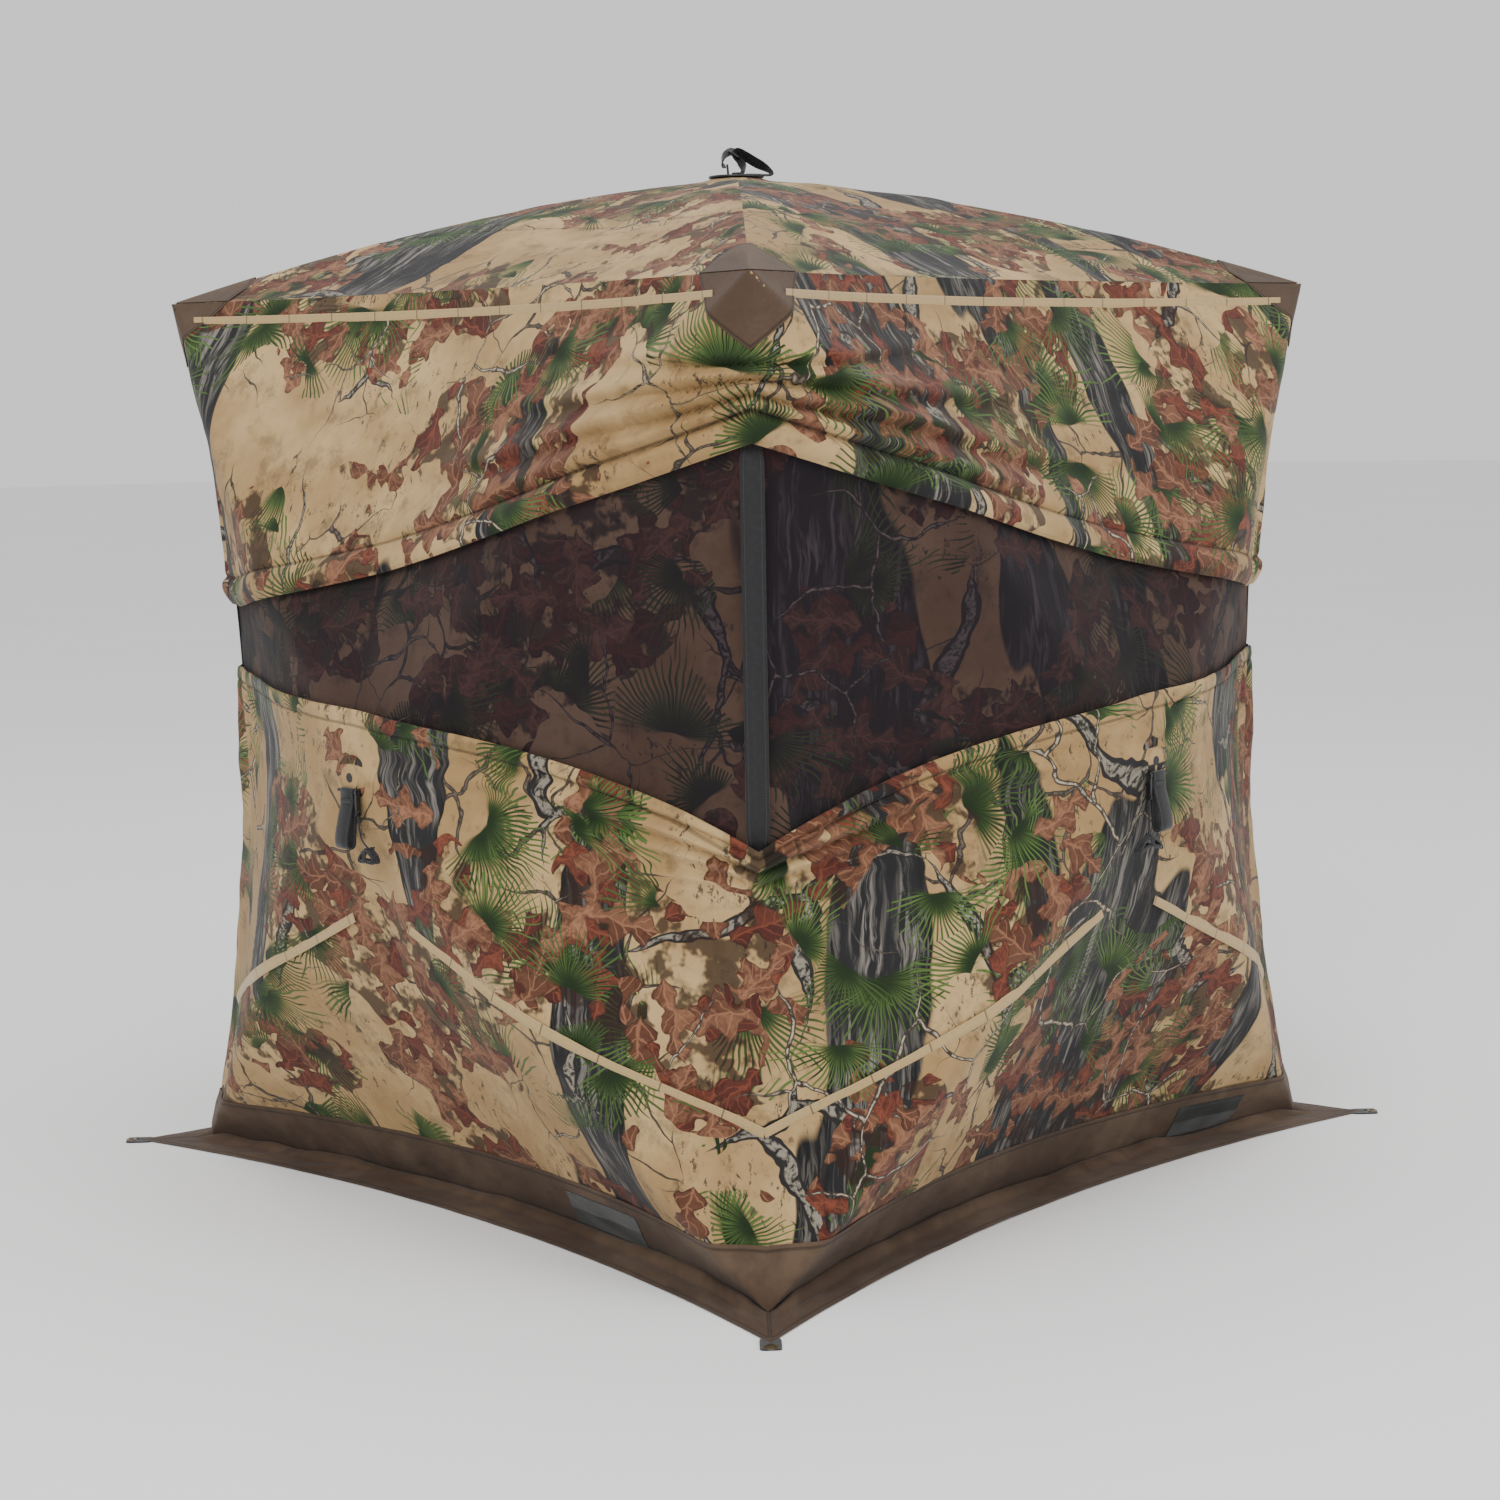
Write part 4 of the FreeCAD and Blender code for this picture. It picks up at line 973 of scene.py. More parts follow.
def at_hub(k, side, up, out):
    """A place by wall k's hub: side along the wall, up it and out from its peak."""
    side, up, out = (np.asarray(v, float) for v in (side, up, out))
    return facing(k, side, -(HALF + HUB_OUT + out), MID + up)


def hank_turns(middle, rings, layers, sag, arch, points_each=14):
    """Turns of a hank: ovals x = a sin(t), y = b cos(t) whose half sizes and depth step from turn to turn, with the
    ends of a lying hank drooping by sag (x / arch)^2."""
    turns = len(rings) * len(layers)
    t = np.arange(turns * points_each) / points_each
    n = np.minimum(t.astype(int), turns - 1)
    move = smooth((t - n - 0.6) / 0.4)
    order = [(ring, layer) for i, layer in enumerate(layers) for ring in (rings if i % 2 == 0 else rings[::-1])]
    wide, tall, deep = (np.array([o[0][0] for o in order]), np.array([o[0][1] for o in order]),
                        np.array([o[1] for o in order]))
    after = np.minimum(n + 1, turns - 1)
    wide, tall, deep = (v[n] + (v[after] - v[n]) * move for v in (wide, tall, deep))
    loose = 1 + 0.035 * np.sin(2.4 * n + 1)
    x = wide * loose * np.sin(2 * math.pi * t)
    y = tall * np.cos(2 * math.pi * t) - sag * (x / arch) ** 2
    return middle[0] + x, middle[1] + y, STRAP_LEVEL + deep


def tie_turns(x, y, half_tall, half_deep, pitch, count):
    """Turns of the line round the hank's waist: y = half_tall cos(t), depth = half_deep sin(t), stepping along it."""
    t = np.arange(count * 12) / 12
    ring = 2 * math.pi * t
    return x + (t - count / 2) * pitch, y + half_tall * np.cos(ring), STRAP_LEVEL + half_deep * np.sin(ring)


class LinesOperator(bpy.types.Operator):
    """Makes the two guy lines with their hanks, and the knots at their ends"""

    bl_idname = "blind.lines"
    bl_label = "Guy lines"

    def execute(self, context):
        sizes = context.scene.blind_sizes
        eye = -0.0635  # the clip's eye, under the hub's middle
        front = ([0.0230, 0.0245, 0.0300, 0.0470], [eye, eye - 0.022, eye - 0.040, eye - 0.052])
        right = ([-0.0230, -0.0250, -0.0215, -0.0245], [eye, eye - 0.020, eye - 0.041, eye - 0.060])
        layers = [-0.0062, -0.0031, 0.0, 0.0031, 0.0062]
        small = hank_turns((0.0470, eye - 0.064), [(0.0205, 0.0105), (0.0174, 0.0072)], layers, 0.008, 0.021)
        self.lay(sizes, 0, front, small, tie_turns(0.0470, eye - 0.064, 0.0128, 0.0098, 0.0032, 3), 1.18)
        large = hank_turns((-0.0245, eye - 0.070), [(0.0315, 0.0085), (0.0284, 0.0054)], layers, 0.016, 0.033)
        self.lay(sizes, 1, right, large, tie_turns(-0.0245, eye - 0.070, 0.0108, 0.0098, 0.0032, 3), 1.59)
        return {"FINISHED"}

    def lay(self, sizes, k, route, turns, tie, length):
        """One line: down from the clip's eye, round the hank, round its waist and into a knot. The knot is a trefoil:
        sin t + 2 sin 2t, cos t - 2 cos 2t, -sin 3t."""
        name = WALLS[k]
        side = np.concatenate([route[0], turns[0], tie[0]])
        up = np.concatenate([route[1], turns[1], tie[1]])
        out = np.concatenate([np.full(len(route[0]), STRAP_LEVEL), turns[2], tie[2]])
        points = at_hub(k, side, up, out)
        data = bpy.data.curves.new("guy_line_" + name, "CURVE")
        data.dimensions = "3D"
        data.bevel_depth, data.bevel_resolution, data.resolution_u = sizes.line / 2, 2, 3
        data.use_fill_caps = True
        spline = data.splines.new("NURBS")
        spline.points.add(len(points) - 1)
        spline.points.foreach_set("co", np.append(points, np.ones((len(points), 1)), 1).ravel())
        spline.order_u = 3
        spline.use_endpoint_u = True
        data.materials.append(FINISHES["line"])
        line = bpy.data.objects.new("line_" + name, data)
        bpy.context.scene.collection.objects.link(line)
        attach(line, "hub_" + name)
        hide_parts("guy_line_" + name, "guy_hank_" + name)
        t = np.linspace(0, 2 * math.pi, 60, endpoint=False)
        knot = 0.0013 * np.stack([np.sin(t) + 2 * np.sin(2 * t), np.cos(t) - 2 * np.cos(2 * t), -np.sin(3 * t)], -1)
        away = np.stack([knot[:, 2], knot[:, 0], knot[:, 1]], -1) * 1.1
        grid, cut = carried(away + points[-1], (0.31, 0.17, 0.93), round_profile(sizes.line / 2, 8), closed=True)
        end = make_piece("line_knot_" + name, [(grid, cut, 0)], ["line"], closed=True)
        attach(end, "hub_" + name)


class WallsOperator(bpy.types.Operator):
    """Makes the four walls' cloth: upper wall, window mesh, lower wall and foot band, each in the rods' parts"""

    bl_idname = "blind.walls"
    bl_label = "Walls"

    def execute(self, context):
        sizes = context.scene.blind_sizes
        band = 2 * BAND_TOP / EAVE - 1
        for k in range(4):
            for side in SIDES:
                self.upper(sizes, k, side)
                self.lower(sizes, k, side, band)
                self.mesh(sizes, k, side)
                self.band(sizes, k, side, band)
        return {"FINISHED"}

    def finish(self, obj, k, side, node, slot, points):
        """Hides the frame's part that this piece stands for and bakes the piece's placing into its mesh."""
        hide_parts(node)
        bend_with_hub(obj)
        declare_cloth(obj)

    def upper(self, sizes, k, side):
        """The cloth over the window: its relief, a hem puffed by 9 mm sin(pi d / hem)^0.7 at d from the free edge, and
        a stitched groove at the hem's top."""
        grids = sector(side, lambda p: head(k, p), lambda p: np.ones(np.shape(p)),
                       sizes.cell * (0.62 if k < 2 else 0.9), "low")
        if grids is None:
            return
        p, q = grids
        off = (q - head(k, p)) * MID
        puff = 0.0090 * np.sin(math.pi * np.clip(off / sizes.hem, 0, 1)) ** 0.7
        groove = 0.0030 * np.exp(-((off - sizes.hem) / 0.005) ** 2)
        out = upper_relief(sizes, k, p, q) + puff - groove
        points = without_hole(wall_surface(sizes, k, p, q, out, slack(k, p, q)), k)
        patches = [(points, cut_place(k, p, q, UPPER_CUT), 0, off - sizes.hem)]
        edge = self.rolled(sizes, k, p[:, 0], q[:, 0], head(k, p[:, 0]), upper_relief, -1, 0.028)
        if edge is not None:
            patches.append(edge)
        obj = make_piece(f"wall_upper_{WALLS[k]}_{side}", patches, ["camo", "lining"], sizes.cloth)
        self.finish(obj, k, side, "wall_upper_" + WALLS[k], "camouflage_cloth", points)

    def lower(self, sizes, k, side, band):
        """The cloth under the window, down to the foot band: as the upper cloth, with a narrower and flatter hem."""
        grids = sector(side, lambda p: np.full(np.shape(p), band), lambda p: sill(k, p),
                       sizes.cell * (0.70 if k < 2 else 0.9), "high")
        if grids is None:
            return
        p, q = grids
        off = (sill(k, p) - q) * MID
        puff = 0.0020 * np.sin(math.pi * np.clip(off / sizes.sill_hem, 0, 1)) ** 0.7
        groove = 0.0012 * np.exp(-((off - sizes.sill_hem) / 0.003) ** 2)
        out = lower_relief(sizes, k, p, q) + puff - groove
        points = without_hole(wall_surface(sizes, k, p, q, out, slack(k, p, q)), k)
        patches = [(points, cut_place(k, p, q), 0, off - sizes.sill_hem)]
        edge = self.rolled(sizes, k, p[:, -1], q[:, -1], sill(k, p[:, -1]), lower_relief, 1, 0.020)
        if edge is not None:
            patches.append(edge)
        obj = make_piece(f"wall_lower_{WALLS[k]}_{side}", patches, ["camo", "lining"], sizes.cloth)
        self.finish(obj, k, side, "wall_lower_" + WALLS[k], "camouflage_cloth", points)

    def rolled(self, sizes, k, p, q, edge, relief, way, back):
        """The free edge turned under: a half round, then the hem's back running up or down behind it."""
        free = np.abs(q - edge) < 1e-6
        if free.sum() < 2:
            return None
        turn = np.linspace(0, math.pi, 7)
        behind = np.concatenate([-ROLL * np.sin(turn), np.linspace(0, back, 5)[1:]])
        inward = np.concatenate([ROLL * (1 - np.cos(turn)), np.full(4, 2 * ROLL)])
        rows = q[free][:, None] - way * behind / MID
        p = np.broadcast_to(p[free][:, None], rows.shape)
        out = relief(sizes, k, p, rows) - inward
        points = wall_surface(sizes, k, p, rows, out, slack(k, p, rows))
        if way < 0:
            points, rows, p = points[:, ::-1], rows[:, ::-1], p[:, ::-1]
        return points, cut_place(k, p, rows, UPPER_CUT if way < 0 else (0.0, 0.0)), 0

    def mesh(self, sizes, k, side):
        """The window's mesh: it hangs behind the walls and reaches 40 mm past the window's edges."""
        over = 0.040 / MID
        grids = sector(side, lambda p: sill(k, p) - over, lambda p: head(k, p) + over, sizes.cell * 1.2)
        if grids is None:
            return
        p, q = grids
        out = creases(sizes, k, p, q) * 0.8 - MESH_BACK
        points = without_hole(wall_surface(sizes, k, p, q, out), k)
        obj = make_piece(f"window_mesh_{WALLS[k]}_{side}", [(points, cut_place(k, p, q), 0)], ["mesh"], 0.0006)
        self.finish(obj, k, side, "window_mesh", "see_through_mesh", points)

    def band(self, sizes, k, side, top):
        """The brown foot band, a little past the lower wall's foot and sewn over it."""
        grids = sector(side, lambda p: np.full(np.shape(p), -0.9975), lambda p: np.full(np.shape(p), top + 0.006),
                       sizes.cell)
        if grids is None:
            return
        p, q = grids
        z = MID * (1 + q)
        points = wall_surface(sizes, k, p, q, band_relief(sizes, k, p, z) + OVER)
        obj = make_piece(f"foot_band_{WALLS[k]}_{side}", [(points, cut_place(k, p, q), 0, BAND_TOP - 0.004 - z)],
                         ["brown", "lining"], sizes.cloth)
        self.finish(obj, k, side, "foot_band", "brown_cloth", points)


class RoofOperator(bpy.types.Operator):
    """Makes the roof's four parts and the brown patches over its corners"""

    bl_idname = "blind.roof"
    bl_label = "Roof"

    def execute(self, context):
        sizes = context.scene.blind_sizes
        for k, wall in enumerate(WALLS):
            s = np.linspace(-1, 1, 130)[:, None]
            r = np.linspace(1, 0.028, 74)[None]
            seam = (r - 0.62) * HALF + 0 * s
            out = self.relief(sizes, k, s, r) - OVER * np.exp(-(seam / 0.005) ** 2)
            points = roof_surface(sizes, k, s, r, out)
            cut = np.stack([2 * HALF * (k + 0.5) + s * r * HALF, EAVE + 0.35 + HALF * (1 - r) + 0 * s], -1)
            obj = make_piece("roof_" + wall, [(points, cut, 0, seam)], ["camo", "lining"], sizes.cloth)
            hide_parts("roof_cloth")
            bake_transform(obj)
            declare_cloth(obj)
        for k in range(4):
            self.patch(sizes, k)
        return {"FINISHED"}

    def relief(self, sizes, k, s, r):
        """Long soft ripples and short ones, gone at the eave, by the hub and along the rods."""
        u, v = 2 * HALF * (k + (s * r + 1) / 2), (1 - r) * HALF + 0 * s
        calm = smooth((1 - r) / 0.10) * smooth((r - 0.07) / 0.12) * smooth((1 - np.abs(s)) / 0.06)
        return calm * (0.0034 * ripples(u, v, sizes.seed + 9, 0.55, 0.18, 14)
                       + 0.0008 * ripples(u, v, sizes.seed + 10, 0.12, 0.045, 24))

    def patch(self, sizes, k):
        """A patch over the corner at wall k's right end: a half on the roof each side of the rod, and a tapering half
        on each wall. On the roof its reach at angle a from the eave is patch (0.88 + 0.14 sin(2a)^2), and on the wall
        its depth at e from the corner is 118 mm (1 - e / reach)^0.9."""
        patches = []
        along_eave = sizes.patch * 0.88
        turn = np.linspace(0, math.pi / 4, 15)[:, None]
        share = np.linspace(0, 1, 16)[None]
        for wall, sign in ((k, 1), ((k + 1) % 4, -1)):
            full = sizes.patch * (0.88 + 0.14 * np.sin(2 * turn) ** 2)
            reach = full * share
            a, r = 1 - reach * np.cos(turn) / HALF, 1 - reach * np.sin(turn) / HALF
            out = self.relief(sizes, wall, sign * a / r, r) + OVER + 0.0015 * np.sin(9 * turn) * share
            points = roof_surface(sizes, wall, sign * a / r, r, out)
            cut = np.stack([sign * reach * np.cos(turn), reach * np.sin(turn)], -1)
            seam = full * (1 - share) - 0.005
            patches.append((points[:, ::sign], cut[:, ::sign], 0, seam[:, ::sign]))
            e = np.linspace(0, along_eave, 16)[:, None]
            deep = 0.118 * (1 - e / along_eave) ** 0.9 + 0.0005
            down = deep * share
            p, q = sign * (1 - e / HALF) + 0 * down, 1 - down / MID
            points = wall_surface(sizes, wall, p, q, upper_relief(sizes, wall, p, q) + OVER)
            cut = np.stack([sign * e + 0 * down, -down], -1)
            patches.append((points[:, ::sign], cut[:, ::sign], 0, (deep - down - 0.005)[:, ::sign]))
        obj = make_piece("corner_patch_" + WALLS[k], patches, ["brown", "lining"], 0.0010)
        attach(obj, "shell")
        declare_cloth(obj)


class SkirtOperator(bpy.types.Operator):
    """Makes the ground skirt, its stake tabs and the dark woven patches on the foot band"""

    bl_idname = "blind.skirt"
    bl_label = "Skirt"

    def execute(self, context):
        sizes = context.scene.blind_sizes
        for k in range(4):
            self.flap(sizes, k)
            self.tab(sizes, k)
        for k, p, wide in ((0, 0.42, 0.20), (1, 0.66, 0.16)):
            self.label(sizes, k, p, wide)
        finish_node("stake_grommets", "brass")
        return {"FINISHED"}

    def flap(self, sizes, k):
        """The skirt beside wall k: across it w runs from 0 at the wall's foot to 1 at the hem. Its height is a puffed
        roll by the wall, h sin(pi w / 0.42)^0.8 to w 0.42, and low waves out to the hem, which lies on the ground."""
        s = np.linspace(-1, 1, 190)[:, None]
        w = np.linspace(0, 1, 26)[None]
        reach = SKIRT_EDGE - HALF
        foot = wall_surface(sizes, 0, s, -1.0 + 0 * s, 0.0)
        inner = np.stack([foot[..., 0], foot[..., 1]], -1)
        outer = inner * np.array([SKIRT_EDGE / HALF, 1.0]) - np.array([0.0, reach])
        flat = inner + (outer - inner) * w[..., None]
        u = 2 * HALF * (k + (s + 1) / 2)
        tuck = smooth((1 - np.abs(s)) / 0.10)
        swell = 1 + 0.35 * ripples(u, 0 * u, sizes.seed + 20, 0.5, 0.15, 10)
        roll = 0.013 * swell * np.sin(math.pi * np.clip(w / 0.42, 0, 1)) ** 0.8 * tuck
        calm = smooth(w / 0.3) * (0.25 + 0.75 * smooth((1 - w) / 0.5)) * (0.3 + 0.7 * tuck)
        waves = 0.0035 * (1 + ripples(u, 0.25 * w, sizes.seed + 21, 0.30, 0.06, 22)) * calm
        z = np.maximum(0.0018 + roll + waves, 0.0018)
        points = facing(k, flat[..., 0], flat[..., 1], z)
        cut = np.stack([u + 0 * w, -reach * w + 0 * u], -1)
        seam = (1 - w) * reach - 0.010 + 0 * s
        mitre = np.minimum((1 - np.abs(s)) * (HALF + reach * w) - 0.004, seam)
        obj = make_piece("skirt_" + WALLS[k], [(points[:, ::-1], cut[:, ::-1], 0, mitre[:, ::-1])],
                         ["brown", "lining"], sizes.cloth)
        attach(obj, "shell")
        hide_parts("ground_skirt")
        declare_cloth(obj)

    def tab(self, sizes, k):
        """A webbing tab round its eye: rings from the eye out to a rectangle with rounded corners, which is
        (|cos t / ahead|^7 + |sin t / half|^7)^(-1/7) from the eye."""
        middle = SKIRT_EDGE * math.sqrt(2) + 0.011  # the eye, past the skirt's corner
        turn = np.linspace(0, 2 * math.pi, 49)
        share = np.linspace(0, 1, 6)[:, None]
        half = sizes.pull_strap / 2
        ahead = np.where(np.cos(turn) > 0, 0.017, 0.033)
        square = (np.abs(np.cos(turn) / ahead) ** 7 + np.abs(np.sin(turn) / half) ** 7) ** (-1 / 7)
        away = 0.0068 + (square - 0.0068) * share
        x, y = middle + away * np.cos(turn), away * np.sin(turn)
        diagonal = (x + y) / math.sqrt(2), (y - x) / math.sqrt(2)
        points = facing(k, diagonal[0], diagonal[1], 0 * x + 0.0020)
        cut = np.stack([y, x - middle], -1)
        obj = make_piece("stake_tab_" + WALLS[k], [(points, cut, 0)], ["webbing"], 0.0019)
        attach(obj, "shell")
        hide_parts("stake_tabs")

    def label(self, sizes, k, p, wide):
        """A plain woven patch sewn on the foot band, wide about p, with no words on it."""
        s = np.linspace(-1, 1, 40)[:, None]
        z = np.linspace(0.012, 0.076, 10)[None]
        across, up = p + s * wide / 2 / HALF + 0 * z, z / MID - 1 + 0 * s
        points = wall_surface(sizes, k, across, up, band_relief(sizes, k, across, z) + OVER + sizes.cloth)
        cut = np.stack([z - 0.044 + 0 * s, s * wide / 2 + 0 * z], -1)
        obj = make_piece("woven_patch_" + WALLS[k], [(points, cut, 0)], ["patch"], 0.0008)
        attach(obj, "shell")


class TrimOperator(bpy.types.Operator):
    """Makes the webbing down the corners, the rod pockets, the brush strips and the door's zip"""

    bl_idname = "blind.trim"
    bl_label = "Trim"

    def execute(self, context):
        sizes = context.scene.blind_sizes
        for k in range(4):
            self.corner(sizes, k)
            self.pockets(sizes, k)
            self.strips(sizes, k)
        self.door_zip(sizes)
        return {"FINISHED"}

    def corner(self, sizes, k):
        """Webbing down the corner at wall k's right end: flat where the tall window bares it and folded round the
        corner elsewhere. A point c across it lies c cos(fold) to the side and |c| sin(fold) back, with the fold from
        0 to an eighth of a turn."""
        q = np.linspace(-0.985, 0.985, 150)
        low, high = sill(0, np.array(1.0)), head(0, np.array(1.0))
        bare = smooth((q - low) * MID / 0.055 + 0.1) * smooth((high - q) * MID / 0.055 + 0.1)
        if k != 0:
            bare = 0 * q
        section = webbing_profile(sizes.corner_strap, sizes.webbing)
        ring = np.concatenate([section, section[:1]])
        edge = wall_surface(sizes, 0, np.ones(150), q, 0.0)
        out, across = np.array([1.0, -1.0, 0.0]) / math.sqrt(2), np.array([1.0, 1.0, 0.0]) / math.sqrt(2)
        fold = (1 - bare)[:, None] * math.pi / 4
        c = ring[None, :, 0]
        side = c * np.cos(fold)
        level = OVER + ring[None, :, 1] - np.abs(c) * np.sin(fold)
        grid = edge[:, None] + side[..., None] * across + level[..., None] * out
        grid = np.concatenate([np.repeat(edge[:1, None], len(ring), 1), grid, np.repeat(edge[-1:, None], len(ring), 1)])
        rows = np.concatenate([q[:1], q, q[-1:]])
        cut = np.stack([c + 0 * rows[:, None], MID * rows[:, None] + 0 * c], -1)
        obj = make_piece("corner_strap_" + WALLS[k], [(facing(k, *np.moveaxis(grid, -1, 0)), cut, 0)], ["webbing"],
                         closed=True)
        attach(obj, "shell")
        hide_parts("corner_straps")

    def pockets(self, sizes, k):
        """A pocket in a corner: a quarter of a shallow cone, its point in the corner, widening along the rod."""
        for name, z, way in (("low", 0.003, 1), ("high", EAVE, -1)):
            turn = np.linspace(0, math.pi / 2, 11)[:, None]
            share = np.linspace(0.05, 1, 10)[None]
            wide = 0.030 * share ** 0.8
            x = HALF - 0.008 - wide * np.cos(turn)
            y = -(HALF - 0.008 - wide * np.sin(turn))
            height = z + way * (0.006 + 0.028 * share * (0.75 + 0.25 * np.sin(2 * turn)))
            points = facing(k, x + 0 * height, y + 0 * height, height)
            cut = np.stack([wide * (turn - 0.8), 0.03 * share + 0 * turn], -1)
            obj = make_piece(f"rod_pocket_{name}_{WALLS[k]}", [(points[::way], cut[::way], 0)], ["webbing"], 0.0016)
            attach(obj, "shell")
            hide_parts("rod_pockets")

    def strips(self, sizes, k):
        """The strip under the eave and the two that slope down from the middle, cut where they cross a rod."""
        feet = [((1.0, -0.660), (-0.88, -0.636)), ((0.88, -0.636), (-1.0, -0.660)), ((0.90, -0.640), (-0.90, -0.640))]
        right, left = feet[min(k, 2)]
        runs = [((-0.905, 0.955), (0.905, 0.955)), ((0.10, -0.315), right), (left, (-0.10, -0.315))]
        for number, (a, b) in enumerate(runs):
            share = np.linspace(0, 1, 90)
            sag = 0.006 * np.sin(math.pi * share)
            p, q = a[0] + (b[0] - a[0]) * share, a[1] + (b[1] - a[1]) * share - sag
            inside = np.abs(p) < np.abs(q)
            for part, chosen in (("mid", inside), ("end", ~inside)):
                if chosen.sum() < 3:
                    continue
                if part == "end":
                    chosen = chosen | np.roll(chosen, 1) | np.roll(chosen, -1)
                self.strip(sizes, k, number, part, p[chosen], q[chosen])

    def strip(self, sizes, k, number, part, p, q):
        """Loop tape carried along the cloth's relief, 1.6 mm off it. Number 0 is under the eave."""
        relief = lower_relief if number else upper_relief
        path = wall_surface(sizes, k, p, q, relief(sizes, k, p, q) + 0.0016, slack(k, p, q))
        across = np.cross(wall_ways(k)[1], np.gradient(path, axis=0))
        grid, cut = carried(path, across, webbing_profile(sizes.strip, 0.0012))
        cut = cut + np.array([0.0, MID * 2 * np.abs(p[0])])
        obj = make_piece(f"brush_strip_{WALLS[k]}_{number}_{part}", [(grid, cut, 0)], ["strip"], closed=True)
        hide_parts("brush_strips")
        if number == 0:
            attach(obj, "shell")
        else:
            bend_with_hub(obj)

    def door_zip(self, sizes):
        """The door's zip: tape carried up the back wall near its corner, 5.2 mm off the wall's surface."""
        q = np.linspace(-0.86, 0.86, 150)
        path = wall_surface(sizes, 2, np.full(150, 0.93), q, 0.0052)
        grid, cut = carried(path, wall_ways(2)[0], webbing_profile(0.024, 0.0014))
        obj = make_piece("door_zip", [(grid, cut, 0)], ["zipper"], closed=True)
        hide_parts("zip_chain")
        bend_with_hub(obj)


class RodsOperator(bpy.types.Operator):
    """Makes the twenty bent rods with their ferrules, eyes, pins and tips"""

    bl_idname = "blind.rods"
    bl_label = "Rods"

    def execute(self, context):
        arms = {"upper_right": (1, 1), "upper_left": (-1, 1), "lower_left": (-1, -1), "lower_right": (1, -1)}
        roof_arms = {"back_right": (1, 1), "back_left": (-1, 1), "front_left": (-1, -1), "front_right": (1, -1)}
        for k, wall in enumerate(WALLS):
            along, normal = wall_ways(k)
            for arm, (x, y) in arms.items():
                way = (along * x * HALF + np.array([0, 0, 1.0]) * y * MID) / math.hypot(HALF, MID)
                obj = self.rod(f"rod_{wall}_{arm}", at_hub(k, 0, 0, 0), way, normal, math.hypot(HALF, MID), HUB_OUT)
                bend_with_hub(obj)
        for arm, (x, y) in roof_arms.items():
            way = np.array([x, y, 0.0]) / math.sqrt(2)
            obj = self.rod("rod_roof_" + arm, np.array([0, 0, APEX]), way, np.array([0, 0, 1.0]),
                           HALF * math.sqrt(2), APEX - EAVE)
            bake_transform(obj)
        return {"FINISHED"}

    def rod(self, name, hub, way, normal, span, rise):
        """A circular arc from the hub's pin to the corner, 27 mm high over its chord."""
        reach, drop, bow = span - 0.089, rise - 0.030, 0.027
        chord = math.hypot(reach, drop)
        radius = (chord * chord / 4 + bow * bow) / (2 * bow)
        half_turn = math.asin(chord / 2 / radius)
        start = half_turn - math.atan2(drop, reach)
        base = hub + way * 0.030 - normal * 0.028
        side = np.cross(way, normal)

        def at(length):
            angle = start - np.asarray(length) / radius
            out, up = radius * (math.sin(start) - np.sin(angle)), radius * (np.cos(angle) - math.cos(start))
            return base + out[..., None] * way + up[..., None] * normal

        total = 2 * half_turn * radius
        shaft = carried(at(np.linspace(0.04, total - 0.020, 48)), side, round_profile(0.005))
        ferrule = np.array([0.0, 0.001, 0.036, 0.040, 0.0452])
        metal = carried(at(ferrule), side, round_profile(0.006, 14), [0.9, 1.0, 1.0, 0.97, 0.9])
        tip_at = total - 0.022 + np.array([0.0, 0.0012, 0.012, 0.0185, 0.0212, 0.022])
        tip = carried(at(tip_at), side, round_profile(0.0065, 14), [0.84, 1.0, 1.0, 0.95, 0.72, 0.4])
        eye = carried(base + np.array([[-1.0], [-0.96], [0.96], [1.0]]) * side * 0.006, way, round_profile(0.007, 18),
                      [0.92, 1, 1, 0.92])
        pin = carried(base + np.array([[-1.0], [1.0]]) * side * 0.0135, way, round_profile(0.0025, 12))
        patches = [(*shaft, 0), (*metal, 1), (*eye, 1), (*pin, 1), (*tip, 2)]
        obj = make_piece(name + "_bent", patches, ["rod", "metal", "rubber"], closed=True)
        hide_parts(name)
        return obj


def finish_node(node, finish):
    """Gives a frame piece its finish in place of its plain one."""
    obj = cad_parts[node]
    obj.data.materials.clear()
    obj.data.materials.append(FINISHES[finish])
    obj.data.polygons.foreach_set("material_index", np.zeros(len(obj.data.polygons), np.int32))
    obj.data.update()


